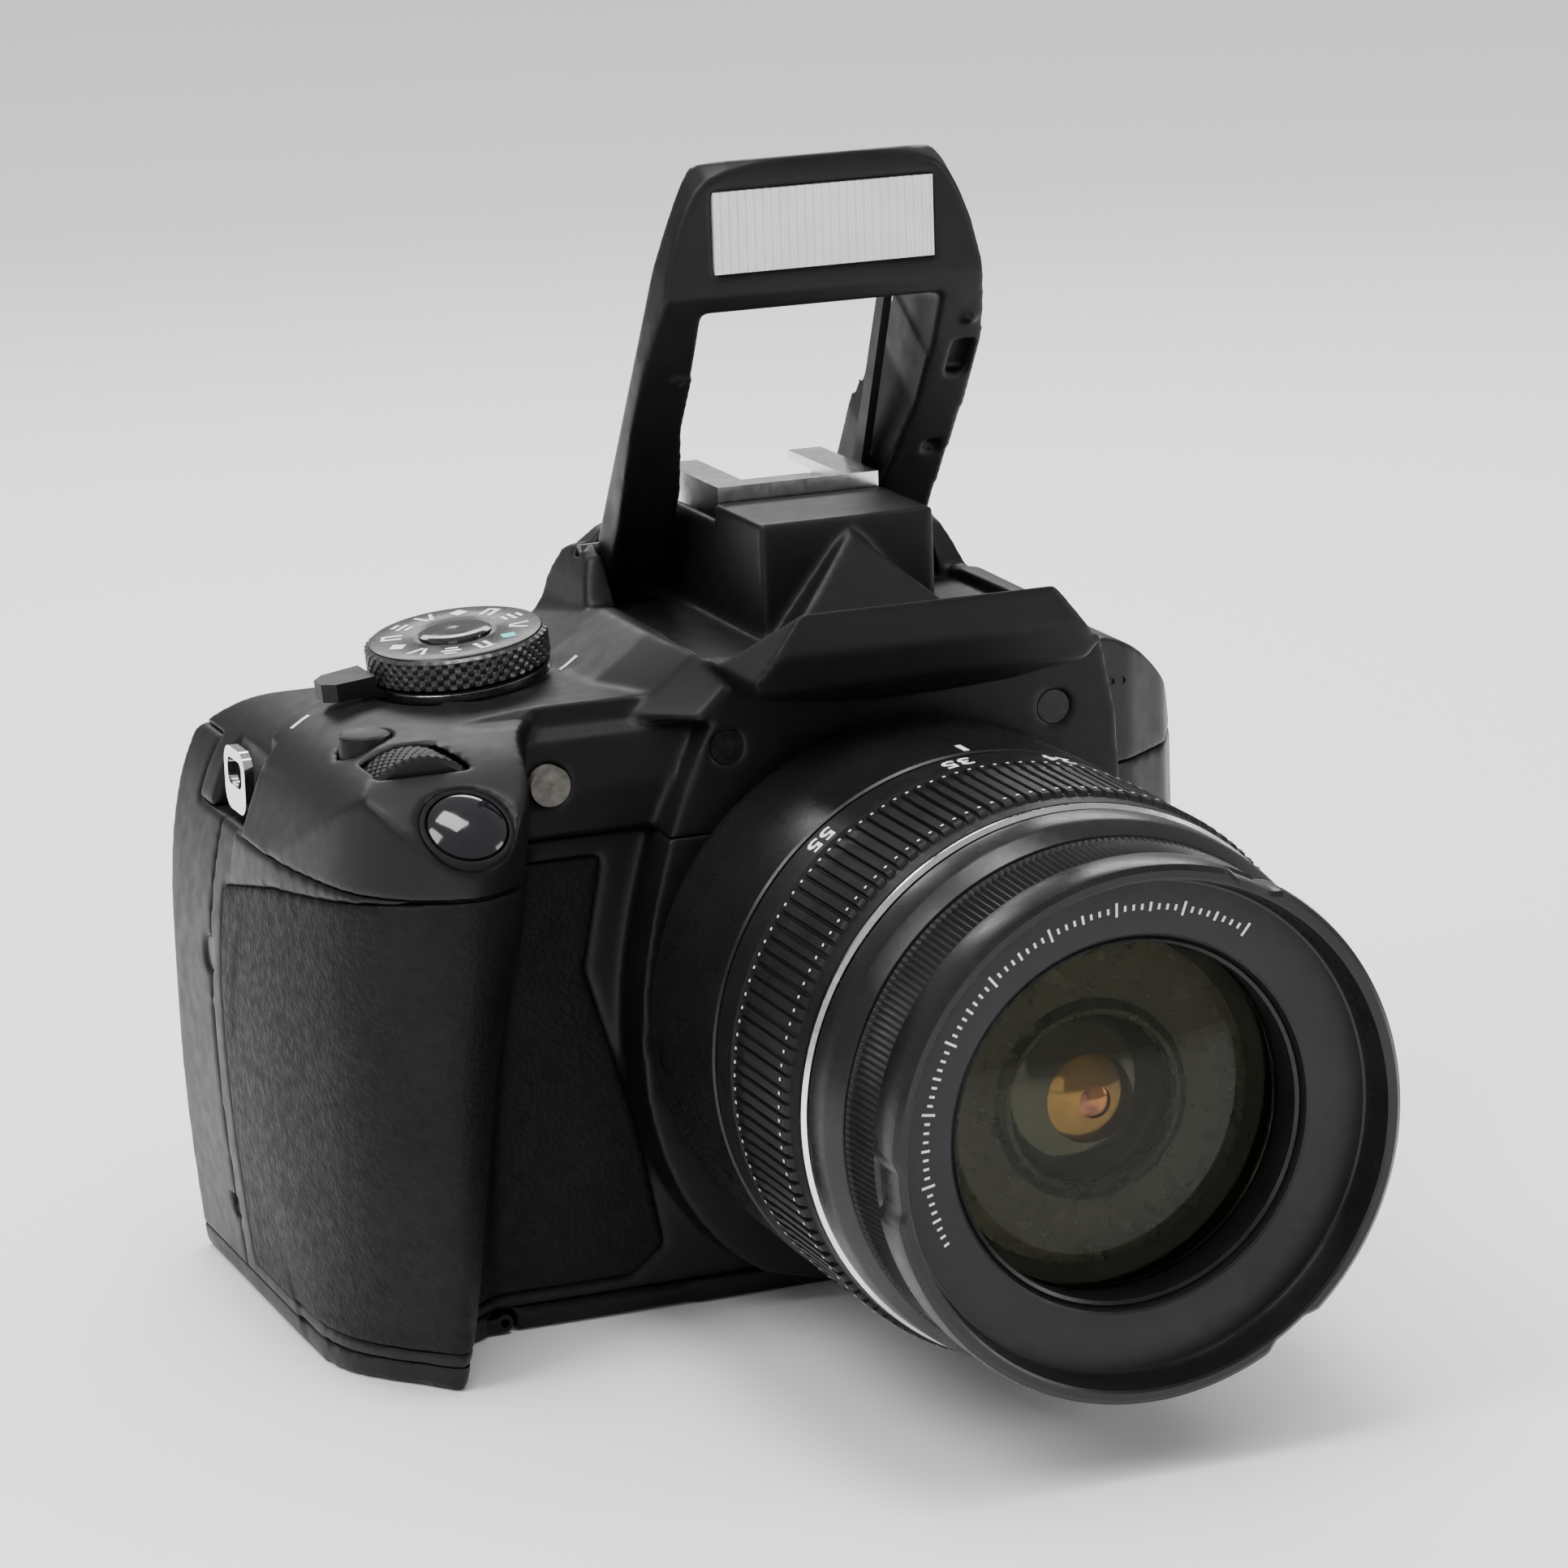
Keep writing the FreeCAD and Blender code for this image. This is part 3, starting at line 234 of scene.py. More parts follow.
def make_finishes():
    """Every material of the camera, by name."""
    made = {}

    def keep(key, finish):
        made[key] = finish.material
        return finish

    f = keep("body_plastic", Finish("body_plastic", Specular_IOR_Level=0.24))
    f.colour((0.0040, 0.0040, 0.0044), (0.0068, 0.0068, 0.0072), 18).rough(0.40, 0.50, 2.5)
    f.bump(f.noise(0.32, 2.0), 0.014, 0.5)

    f = keep("grip_rubber", Finish("grip_rubber", Specular_IOR_Level=0.16))
    f.colour((0.0038, 0.0038, 0.0040), (0.0062, 0.0062, 0.0064), 9).rough(0.50, 0.68, 1.5)
    f.bump(f.cells(0.7), 0.12, 0.6)
    f.bump(f.noise(0.35, 2.0), 0.03, 0.5)

    f = keep("gloss_black", Finish(
        "gloss_black", Specular_IOR_Level=0.45, Coat_Weight=0.3, Coat_Roughness=0.04))
    f.colour((0.006, 0.006, 0.008), (0.010, 0.010, 0.012), 6).rough(0.06, 0.14, 2.0)
    f.bump(f.noise(1.4, 2.0), 0.006, 0.4)

    f = keep("lens_plastic", Finish("lens_plastic", Specular_IOR_Level=0.32))
    f.colour((0.0055, 0.0055, 0.0058), (0.0085, 0.0085, 0.0090), 12).rough(0.24, 0.34, 2.0)
    f.bump(f.noise(0.35, 2.0), 0.010, 0.5)

    f = keep("lens_rubber", Finish("lens_rubber", Specular_IOR_Level=0.18))
    f.colour((0.0060, 0.0060, 0.0062), (0.0095, 0.0095, 0.0098), 6).rough(0.36, 0.5, 1.2)
    f.bump(f.noise(0.3, 3.0), 0.012, 0.6)

    f = keep("name_plastic", Finish("name_plastic", Specular_IOR_Level=0.28))
    f.colour((0.0080, 0.0080, 0.0092), (0.0115, 0.0115, 0.0130), 10).rough(0.34, 0.44, 1.5)
    f.bump(f.noise(0.25, 2.0), 0.008, 0.5)

    f = keep("steel", Finish("steel", Metallic=1.0))
    f.colour((0.50, 0.50, 0.50), (0.66, 0.66, 0.65), 4).rough(0.18, 0.38, 0.8, (1, 12, 1))
    f.bump(f.noise(0.3, 3.0, (1, 14, 1)), 0.006, 0.5)

    f = keep("chrome", Finish("chrome", Metallic=1.0))
    f.colour((0.80, 0.80, 0.81), (0.90, 0.90, 0.90), 5).rough(0.04, 0.12, 1.5)

    f = keep("trim_silver", Finish("trim_silver", Metallic=1.0))
    f.colour((0.80, 0.80, 0.80), (0.93, 0.93, 0.93), 6).rough(0.14, 0.24, 0.8)
    f.bump(f.noise(0.2, 2.0), 0.004, 0.5)

    f = keep("dark_chrome", Finish("dark_chrome", Metallic=1.0))
    f.colour((0.16, 0.155, 0.15), (0.26, 0.25, 0.24), 3).rough(0.18, 0.32, 0.6)
    f.bump(f.noise(0.2, 2.0), 0.006, 0.5)

    f = keep("knurl_black", Finish("knurl_black", Metallic=0.6, Specular_IOR_Level=0.6))
    f.colour((0.035, 0.034, 0.033), (0.075, 0.073, 0.070), 1.0).rough(0.22, 0.36, 0.6)
    f.bump(f.noise(0.2, 2.0), 0.006, 0.5)

    f = keep("front_glass", Finish(
        "front_glass", Transmission_Weight=1.0, IOR=1.22, Base_Color=(0.60, 0.60, 0.46, 1)))
    f.rough(0.0, 0.02, 8.0)

    f = keep("clear_glass", Finish(
        "clear_glass", Transmission_Weight=1.0, IOR=1.45, Base_Color=(0.96, 0.97, 0.98, 1)))
    f.rough(0.02, 0.08, 3.0)

    f = keep("amber_glass", Finish("amber_glass", Metallic=0.85, Coat_Weight=1.0, Coat_Roughness=0.03))
    f.colour((0.16, 0.075, 0.016), (0.42, 0.22, 0.05), 5).rough(0.10, 0.18, 3.0)

    f = keep("violet_glass", Finish("violet_glass", Metallic=0.8, Coat_Weight=1.0, Coat_Roughness=0.03))
    f.colour((0.28, 0.07, 0.10), (0.75, 0.34, 0.12), 3).rough(0.08, 0.16, 3.0)

    f = keep("screen_glass", Finish(
        "screen_glass", Coat_Weight=0.5, Coat_Roughness=0.03, Specular_IOR_Level=0.5))
    f.colour((0.006, 0.006, 0.008), (0.010, 0.010, 0.013), 20).rough(0.05, 0.10, 8.0)

    f = keep("baffle_black", Finish("baffle_black", Specular_IOR_Level=0.2))
    f.colour((0.003, 0.003, 0.003), (0.006, 0.006, 0.006), 4).rough(0.6, 0.8, 1.0)
    f.bump(f.noise(0.4, 2.0), 0.02, 0.5)

    f = keep("print_white", Finish("print_white", Specular_IOR_Level=0.3))
    f.colour((0.72, 0.72, 0.72), (0.85, 0.85, 0.85), 1.2).rough(0.4, 0.55, 0.8)

    f = keep("print_teal", Finish("print_teal", Specular_IOR_Level=0.3))
    f.colour((0.05, 0.45, 0.45), (0.09, 0.60, 0.58), 1.2).rough(0.4, 0.55, 0.8)

    f = keep("circuit", Finish("circuit"))
    f.colour((0.01, 0.09, 0.03), (0.03, 0.16, 0.06), 2.0).rough(0.3, 0.5, 1.0)
    f.bump(f.cells(1.2), 0.05, 0.5)

    f = keep("sensor", Finish("sensor", Coat_Weight=1.0, Coat_Roughness=0.05))
    f.colour((0.03, 0.06, 0.05), (0.08, 0.06, 0.10), 8.0).rough(0.1, 0.2, 3.0)

    f = keep("battery", Finish("battery"))
    f.colour((0.02, 0.02, 0.022), (0.03, 0.03, 0.032), 8.0).rough(0.4, 0.55, 2.0)
    f.bump(f.noise(0.5, 2.0), 0.02, 0.5)

    f = keep("mirror", Finish("mirror", Metallic=1.0))
    f.colour((0.86, 0.87, 0.88), (0.92, 0.92, 0.92), 10.0).rough(0.01, 0.05, 6.0)

    f = keep("lamp_white", Finish(
        "lamp_white", Specular_IOR_Level=0.5, Coat_Weight=0.8, Coat_Roughness=0.06))
    f.colour((0.55, 0.53, 0.46), (0.72, 0.70, 0.62), 2.0).rough(0.12, 0.22, 1.0)

    f = keep("lamp_grey", Finish("lamp_grey", Coat_Weight=1.0, Coat_Roughness=0.05))
    f.colour((0.10, 0.095, 0.085), (0.20, 0.19, 0.17), 1.5).rough(0.10, 0.20, 1.0)

    f = keep("flash_glass", Finish("flash_glass", Transmission_Weight=0.2, IOR=1.45))
    f.colour((0.90, 0.91, 0.92), (0.97, 0.97, 0.97), 3.0).rough(0.14, 0.24, 1.0)
    f.bump(f.flutes(1.1), 0.30, 0.9)

    f = keep("dark_screw", Finish("dark_screw", Metallic=0.5, Specular_IOR_Level=0.4))
    f.colour((0.010, 0.010, 0.010), (0.022, 0.021, 0.020), 1.0).rough(0.28, 0.42, 0.5)
    f.bump(f.noise(0.3, 2.0), 0.010, 0.5)
    return made


make_camera()
make_studio()
FINISH = make_finishes()


# ---------------------------------------------------------------- mesh helpers
def add_object(name, mesh, finish, smooth=True):
    """Puts a mesh in the scene with one finish."""
    obj = bpy.data.objects.new(name, mesh)
    bpy.context.scene.collection.objects.link(obj)
    mesh.materials.clear()
    mesh.materials.append(FINISH[finish])
    if smooth:
        mesh.shade_smooth()
    return obj


def mesh_of(name, verts, faces, finish):
    """A closed solid from points in millimetres, with every face turned outward."""
    mesh = bpy.data.meshes.new(name)
    mesh.from_pydata([tuple(v * MM for v in p) for p in verts], [], faces)
    mesh.validate()
    piece = add_object(name, mesh, finish)
    work = bmesh.new()
    work.from_mesh(mesh)
    bmesh.ops.recalc_face_normals(work, faces=work.faces)
    work.to_mesh(mesh)
    work.free()
    return piece


def apply_all(obj):
    """Turns the modified shape into the object's own mesh."""
    depsgraph = bpy.context.evaluated_depsgraph_get()
    mesh = bpy.data.meshes.new_from_object(obj.evaluated_get(depsgraph))
    obj.modifiers.clear()
    obj.data = mesh
    return obj


def soften(obj, voxel_mm, passes):
    """Rebuilds a CAD solid as an even mesh and rounds every edge as a mould does."""
    remesh = obj.modifiers.new("even", "REMESH")
    remesh.mode = "VOXEL"
    remesh.voxel_size = voxel_mm * MM
    remesh.use_smooth_shade = True
    relax = obj.modifiers.new("relax", "SMOOTH")
    relax.factor = 0.5
    relax.iterations = passes
    apply_all(obj)
    triangles = 2 * len(obj.data.polygons)
    if triangles > MOST_TRIANGLES:
        thin = obj.modifiers.new("thin", "DECIMATE")
        thin.ratio = MOST_TRIANGLES / triangles
        apply_all(obj)
    obj.data.shade_smooth()
    return obj


def by_angle(obj, degrees=30):
    """Shades smooth, and keeps every edge sharper than an angle crisp."""
    obj.data.shade_smooth()
    obj.data.set_sharp_from_angle(angle=math.radians(degrees))
    return obj


def dress(obj, body, node):
    """The piece rides on a body, and stands for a CAD node if one is named."""
    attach(obj, body)
    if node:
        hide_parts(node)
    return obj


def copy_of(node, name, finish):
    """A new piece with the shape of a CAD node."""
    mesh = frame["nodes"][node].data.copy()
    return add_object(name, mesh, finish)


def lens_point(d, r, angle):
    """A point at distance d in front of the flange, radius r, and an angle from +X seen from the front."""
    return (r * math.cos(angle), FLANGE_Y - d, AXIS_Z + r * math.sin(angle))


def turned(name, profile, finish, segments=256, shape=None, sharp=28):
    """A ring or solid of revolution about the optical axis from closed (distance, radius) points.

    shape(distance, radius, angle) may change a point's radius.
    """
    verts, faces = [], []
    for i in range(segments):
        angle = TAU * i / segments
        for d, r in profile:
            reach = shape(d, r, angle) if shape else r
            verts.append(lens_point(d, reach, angle))
    n = len(profile)
    for i in range(segments):
        a, b = i * n, ((i + 1) % segments) * n
        for k in range(n):
            m = (k + 1) % n
            faces.append((a + k, b + k, b + m, a + m))
    mesh = bpy.data.meshes.new(name)
    mesh.from_pydata([tuple(v * MM for v in p) for p in verts], [], faces)
    work = bmesh.new()
    work.from_mesh(mesh)
    bmesh.ops.remove_doubles(work, verts=work.verts, dist=1e-7)
    bmesh.ops.recalc_face_normals(work, faces=work.faces)
    work.to_mesh(mesh)
    work.free()
    return by_angle(add_object(name, mesh, finish), sharp)


def text_mesh(words, size_mm):
    """Flat numerals as a thin mesh, centred on the origin, in millimetres."""
    curve = bpy.data.curves.new("words", "FONT")
    curve.body = words
    curve.size = size_mm
    curve.align_x, curve.align_y = "CENTER", "CENTER"
    curve.resolution_u = 3
    curve.extrude = 0.03
    curve.offset = size_mm * 0.012
    holder = bpy.data.objects.new("words", curve)
    bpy.context.scene.collection.objects.link(holder)
    depsgraph = bpy.context.evaluated_depsgraph_get()
    depsgraph.update()
    mesh = bpy.data.meshes.new_from_object(holder.evaluated_get(depsgraph))
    bpy.data.objects.remove(holder)
    return mesh


def bars_mesh(bars, depth_mm=0.06):
    """Printed bars: (x, y, width, height, turn in degrees) each, in millimetres."""
    work = bmesh.new()
    for x, y, width, height, turn in bars:
        place = Matrix.Translation((x, y, 0)) @ Matrix.Rotation(math.radians(turn), 4, "Z")
        bmesh.ops.create_cube(work, size=1, matrix=place @ Matrix.Diagonal((width, height, depth_mm, 1)))
    bmesh.ops.subdivide_edges(work, edges=work.edges, cuts=2, use_grid_fill=True)
    mesh = bpy.data.meshes.new("bars")
    work.to_mesh(mesh)
    work.free()
    return mesh


def printed(name, meshes, finish, wrap):
    """Joins flat prints and carries each point (x, y, height) onto a surface with wrap."""
    work = bmesh.new()
    for mesh in meshes:
        work.from_mesh(mesh)
        bpy.data.meshes.remove(mesh)
    for vert in work.verts:
        vert.co = Vector(wrap(*vert.co)) * MM
    bmesh.ops.recalc_face_normals(work, faces=work.faces)
    joined = bpy.data.meshes.new(name)
    work.to_mesh(joined)
    work.free()
    return add_object(name, joined, finish, smooth=False)


def shifted(mesh, x, y, turn):
    """Turns a flat print by degrees, then moves it."""
    mesh.transform(Matrix.Translation((x, y, 0)) @ Matrix.Rotation(math.radians(turn), 4, "Z"))
    return mesh


# ---------------------------------------------------------------- body
# moulded pieces: finish, size of the even mesh in millimetres, and passes of rounding
COVERS = {
    "front_cover": ("body_plastic", 0.5, 9),
    "top_cover": ("body_plastic", 0.45, 9),
    "rear_cover": ("body_plastic", 0.5, 8),
    "base_cover": ("body_plastic", 0.6, 6),
    "grip_rubber": ("grip_rubber", 0.45, 5),
    "flash_housing": ("body_plastic", 0.4, 7),
    "eyecup": ("grip_rubber", 0.35, 5),
    "thumb_rubber": ("grip_rubber", 0.4, 4),
}


def make_covers():
    """The covers and rubbers, each softened from its CAD shape."""
    body_of = {n: b for b, members in frame["record"]["behaviour"]["bodies"].items() for n in members}
    for node, (finish, voxel, passes) in COVERS.items():
        piece = soften(copy_of(node, node + "_moulded", finish), voxel, passes)
        piece.data.materials.clear()
        piece.data.materials.append(FINISH[finish])
        dress(piece, body_of[node], node)


# ---------------------------------------------------------------- lens
RIBS = 132
RIB_D0, RIB_D1 = 30.0, 46.2             # where the ribs of the zoom ring start and end
RIB_DEPTH, RIB_SHARE = 0.5, 0.70        # depth of the grooves, and the part of each pitch that stands up
SERRATIONS, SERRATION_DEPTH = 240, 0.16
DOME_RINGS = 14                         # steps from a lens element's middle to its edge


def make_lens():
    """The fixed barrel, the zoom and focus rings, the front ring and the surfaces inside it."""
    fixed = turned("fixed_barrel_shell", [
        (0, 26.9), (0, 32.7), (0.3, 33.1), (1.4, 33.55), (3.6, 34.1), (4.2, 34.2), (23.6, 34.25),
        (23.9, 34.0), (24.0, 31.0), (46, 31.0), (46, 29.6), (4.5, 29.6), (4.5, 13), (-3.2, 13),
        (-3.2, 26.9)], "lens_plastic")
    dress(fixed, "camera", "fixed_barrel")

    def ribbed(d, r, angle):
        """Straight grooves cut into the zoom ring's grip."""
        if r < 32.5 or not RIB_D0 < d < RIB_D1:
            return r
        phase = (angle / TAU * RIBS) % 1.0
        return r - (RIB_DEPTH if phase > RIB_SHARE else 0.0)

    zoom = turned("zoom_ring_ribbed", [
        (24.3, 31.06), (24.3, 33.75), (24.7, 34.1), (29.4, 34.15), (29.9, 33.5), (30.2, 34.1), (30.6, 34.25),
        (34.0, 34.25), (34.2, 34.15), (45.6, 34.1), (46.0, 33.9), (46.3, 33.45), (48.8, 33.35),
        (48.8, 31.06)], "lens_rubber", RIBS * 8, ribbed, sharp=35)
    dress(zoom, "zoom_ring", "zoom_ring")
    trim = turned("silver_trim", [
        (48.8, 31.1), (48.8, 32.9), (49.1, 33.3), (49.5, 33.3), (49.9, 32.8), (50.0, 31.1)], "trim_silver")
    dress(trim, "zoom_ring", "trim_ring")
    barrel = turned("inner_barrel_shell", [
        (8, 27.4), (8, 29.2), (50.4, 29.2), (50.4, 32.7), (50.7, 32.9), (54.3, 32.75), (54.9, 32.5),
        (56.9, 31.3), (57, 31.0), (57, 29.0), (64, 29.0), (64, 27.4)], "lens_plastic")
    dress(barrel, "inner_barrel", "inner_barrel")

    def serrated(d, r, angle):
        """Fine rounded teeth round the focus ring."""
        if r < 30.2 or not 58.0 < d < 64.9:
            return r
        return r - SERRATION_DEPTH + SERRATION_DEPTH * math.cos(angle * SERRATIONS)

    focus = turned("focus_ring_serrated", [
        (57.3, 29.06), (57.3, 30.9), (57.6, 31.2), (58.1, 31.05), (58.4, 31.1), (64.4, 30.75), (64.8, 30.6),
        (65.2, 30.2), (65.4, 29.9), (65.4, 29.06)], "lens_rubber", SERRATIONS * 6, serrated)
    dress(focus, "focus_ring", "focus_ring")

    def lugged(d, r, angle):
        """The hood bayonet: three shallow notches in the outside of the front rim."""
        if r < 30.5 or not 66.0 < d < 71.9:
            return r
        turn = (math.degrees(angle) - 52) % 120
        notch = max(0.0, min(1.0, (7.0 - abs(turn - 12)) / 3.0))
        return r - 0.75 * notch

    rim = turned("front_ring_rim", [
        (65.4, 29.2), (65.4, 30.2), (65.6, 31.0), (66.1, 31.35), (66.6, 31.4), (70.6, 31.4), (71.3, 31.2),
        (71.8, 30.6), (71.8, 29.8), (71.6, 29.5), (70.4, 29.2), (68.2, 29.05), (67.6, 28.7), (67.4, 28.2),
        (67.35, 28.9)],
        "lens_plastic", 384, lugged)
    dress(rim, "focus_ring", "front_ring")
    face = turned("name_ring_face", [
        (67.4, 28.9), (67.5, 28.5), (66.5, 22.6), (66.45, 22.2), (66.2, 21.9), (65.6, 21.75), (65.4, 22.4),
        (65.6, 28.6)],
        "name_plastic")
    dress(face, "focus_ring", None)
    baffle = turned("inner_baffle", [
        (65.6, 21.7), (65.0, 21.5), (64.9, 20.9), (64.0, 20.7), (60.0, 21.2), (57.0, 21.3), (52.0, 18.6),
        (51.8, 17.2), (48.0, 16.6), (47.8, 15.0), (44.0, 14.4), (43.8, 12.4), (40.0, 11.8), (39.8, 10.4),
        (36.0, 10.0), (36.0, 12.0), (48.0, 20.0), (57.0, 23.8), (64.6, 23.8)], "baffle_black")
    dress(baffle, "focus_ring", None)
    seat = turned("glass_seat", [
        (64.6, 21.6), (65.3, 21.6), (65.5, 21.3), (65.2, 20.9), (64.6, 20.9)], "lens_plastic")
    dress(seat, "focus_ring", None)
    make_elements()
    make_lens_prints()


def dome(name, crown, radius, curve, back, finish):
    """A lens element: a spherical front with its crown at a distance, over a flat back."""
    profile = []
    for i in range(DOME_RINGS + 1):
        r = radius * math.sin(i / DOME_RINGS * math.pi / 2)
        profile.append((crown - curve + math.sqrt(curve ** 2 - r ** 2), r))
    profile += [(back, radius), (back, 0)]
    return turned(name, profile, finish, 128, sharp=40)


def make_elements():
    """The front and rear glasses, and the inner group with its coloured coatings."""
    front = dome("front_element_glass", 64.6, 20.8, 52.0, 59.5, "front_glass")
    dress(front, "focus_ring", "front_element")
    holder = turned("inner_group_holder", [
        (53.5, 9.6), (54.9, 9.6), (55.3, 9.9), (55.4, 10.4), (55.0, 10.9), (54.6, 11.4), (54.4, 18.9),
        (53.5, 18.9)],
        "lens_plastic")
    dress(holder, "focus_ring", None)
    inner = dome("inner_element_dark", 55.0, 9.55, 18.0, 52.0, "screen_glass")
    dress(inner, "focus_ring", None)
    amber = dome("inner_element_amber", 55.9, 5.0, 9.0, 53.0, "amber_glass")
    dress(amber, "focus_ring", None)
    violet = dome("inner_element_violet", 56.3, 2.0, 3.2, 54.0, "violet_glass")
    dress(violet, "focus_ring", None)
    rear = dome("rear_element_glass", 4.2, 12.8, 40.0, -2.2, "clear_glass")
    dress(rear, "camera", "rear_element")


def make_lens_prints():
    """The zoom numerals and index, white dots on the ribs as painted highlights of the rib ends, and the
    scale on the name ring.
    """
    def on_barrel(radius, d0, angle0):
        """A wrap round the barrel, with its origin at a distance and an angle in degrees."""
        def wrap(x, y, h):
            return lens_point(d0 + y, radius + h, math.radians(angle0) + x / radius)
        return wrap

    for words, angle in (("55", 128), ("35", 96), ("24", 74), ("18", 48)):
        wrap = on_barrel(BARREL_RADIUS - 0.1, 27.0, angle)
        mark = printed("zoom_mark_" + words, [text_mesh(words, 4.0)], "print_white", wrap)
        dress(mark, "zoom_ring", None)
    bar = bars_mesh([(0, 0, 0.7, 3.0, 0)])
    index = printed("zoom_index", [bar], "print_white", on_barrel(BARREL_RADIUS, 21.6, 91))
    dress(index, "camera", None)
    # painted highlights: two rows of white dots on the ribs stand in for the glints on the rib ends and on
    # the step in the ribs
    for row, d in enumerate((31.0, 45.0)):
        highlight_dots = [((i + RIB_SHARE / 2) / RIBS * TAU * 34.2, 0, RIB_HIGHLIGHT_SIDE, RIB_HIGHLIGHT_SIDE, 0) for i in range(RIBS)]
        wrap = on_barrel(BARREL_RADIUS, d, 0)
        painted_highlights = printed(f"rib_dots_{row}", [bars_mesh(highlight_dots, 0.04)], "print_white", wrap)
        dress(painted_highlights, "zoom_ring", None)
    scale = []
    for i in range(SCALE_TICKS):
        turn = 56 + i * 2.35
        length = 1.7 if i % 8 == 0 else (1.1 if i % 4 == 0 else 0.7)
        scale.append((math.radians(turn) * SCALE_RADIUS, 0, 0.28, length, 0))

    def on_face(x, y, h):
        """Round the sloping face of the name ring."""
        angle = x / SCALE_RADIUS
        r = SCALE_RADIUS + y
        d = 66.5 + (r - 22.6) * (67.5 - 66.5) / (28.5 - 22.6) + 0.02 + h
        return lens_point(d, r, angle)

    ticks = printed("name_ring_scale", [bars_mesh(scale, 0.04)], "print_white", on_face)
    dress(ticks, "focus_ring", None)


# ---------------------------------------------------------------- controls
REAR_BUTTONS = ("live_view_button", "lock_button", "focus_point_button", "exposure_button",
                "playback_button", "set_button")
# printed signs of the mode dial, as bars: x, y, width, height, turn
DIAL_ICONS = [[(0, 0, 1.9, 0.35, 0), (0, 0.8, 1.2, 0.35, 0), (0, -0.8, 1.2, 0.35, 0)],
              [(-0.5, 0, 0.4, 2.0, 0), (0.5, 0, 0.4, 2.0, 0), (0, 0.8, 1.2, 0.35, 0)],
              [(0, 0, 1.3, 1.3, 45)],
              [(-0.5, 0, 0.35, 1.9, 20), (0.5, 0, 0.35, 1.9, -20)]]


def axes_of(axis):
    """A unit axis with two directions square to it."""
    axis = Vector(axis).normalized()
    side = axis.orthogonal().normalized()
    return axis, side, axis.cross(side)


def rim_point(centre, axes, height, radius, angle):
    """A point at a height along an axis and at a radius and angle round it."""
    axis, side, up = axes
    return tuple(Vector(centre) + axis * height + (side * math.cos(angle) + up * math.sin(angle)) * radius)


def knurled_wheel(name, centre, axis, radius, low, high, finish, teeth, rows, depth):
    """A wheel whose rim carries a diamond knurl between two heights along its axis."""
    axes = axes_of(axis)
    verts, faces = [], []
    columns = teeth * 4
    levels = []
    steps = rows * 4
    for j in range(steps + 1):
        levels.append((low + (high - low) * j / steps, j / steps * rows))
    for h, v in levels:
        for i in range(columns):
            u = i / columns * teeth
            diamond = abs(((u + v / 2) % 1) - 0.5) + abs(((u - v / 2) % 1) - 0.5)
            fade = 0.0 if h in (low, high) else 1.0
            r = radius - depth + depth * fade * min(1.0, diamond * 1.5)
            verts.append(rim_point(centre, axes, h, r, TAU * i / columns))
    for j in range(steps):
        for i in range(columns):
            k = (i + 1) % columns
            foot, top = j * columns, (j + 1) * columns
            faces.append((foot + i, foot + k, top + k, top + i))
    for j, h, sign in ((0, low, -1), (steps, high, 1)):
        inner = len(verts)
        end = h + sign * CHAMFER
        for i in range(columns):
            verts.append(rim_point(centre, axes, end, radius - CHAMFER_INSET, TAU * i / columns))
        hub = len(verts)
        verts.append(tuple(Vector(centre) + axes[0] * end))
        for i in range(columns):
            k = (i + 1) % columns
            faces.append((j * columns + i, j * columns + k, inner + k, inner + i))
            faces.append((inner + i, inner + k, hub))
    piece = mesh_of(name, verts, faces, finish)
    return by_angle(piece, 24)


def spun(name, centre, axis, profile, finish, segments=96):
    """A turned piece about any axis: (height along the axis, radius) points from its foot to its crown."""
    axes = axes_of(axis)
    verts, faces = [], []
    for h, r in profile:
        for i in range(segments):
            verts.append(rim_point(centre, axes, h, max(r, 1e-4), TAU * i / segments))
    for j in range(len(profile) - 1):
        for i in range(segments):
            k = (i + 1) % segments
            foot, top = j * segments, (j + 1) * segments
            faces.append((foot + i, foot + k, top + k, top + i))
    faces.append(tuple(reversed(range(segments))))
    last = (len(profile) - 1) * segments
    faces.append(tuple(range(last, last + segments)))
    piece = mesh_of(name, verts, faces, finish)
    return by_angle(piece)


def joint_of(name):
    """A joint's place in millimetres and its axis."""
    found = next(j for j in frame["record"]["behaviour"]["joints"] if j["name"] == name)
    return Vector(found["pos_m"]) / MM, Vector(found["axis"]).normalized()


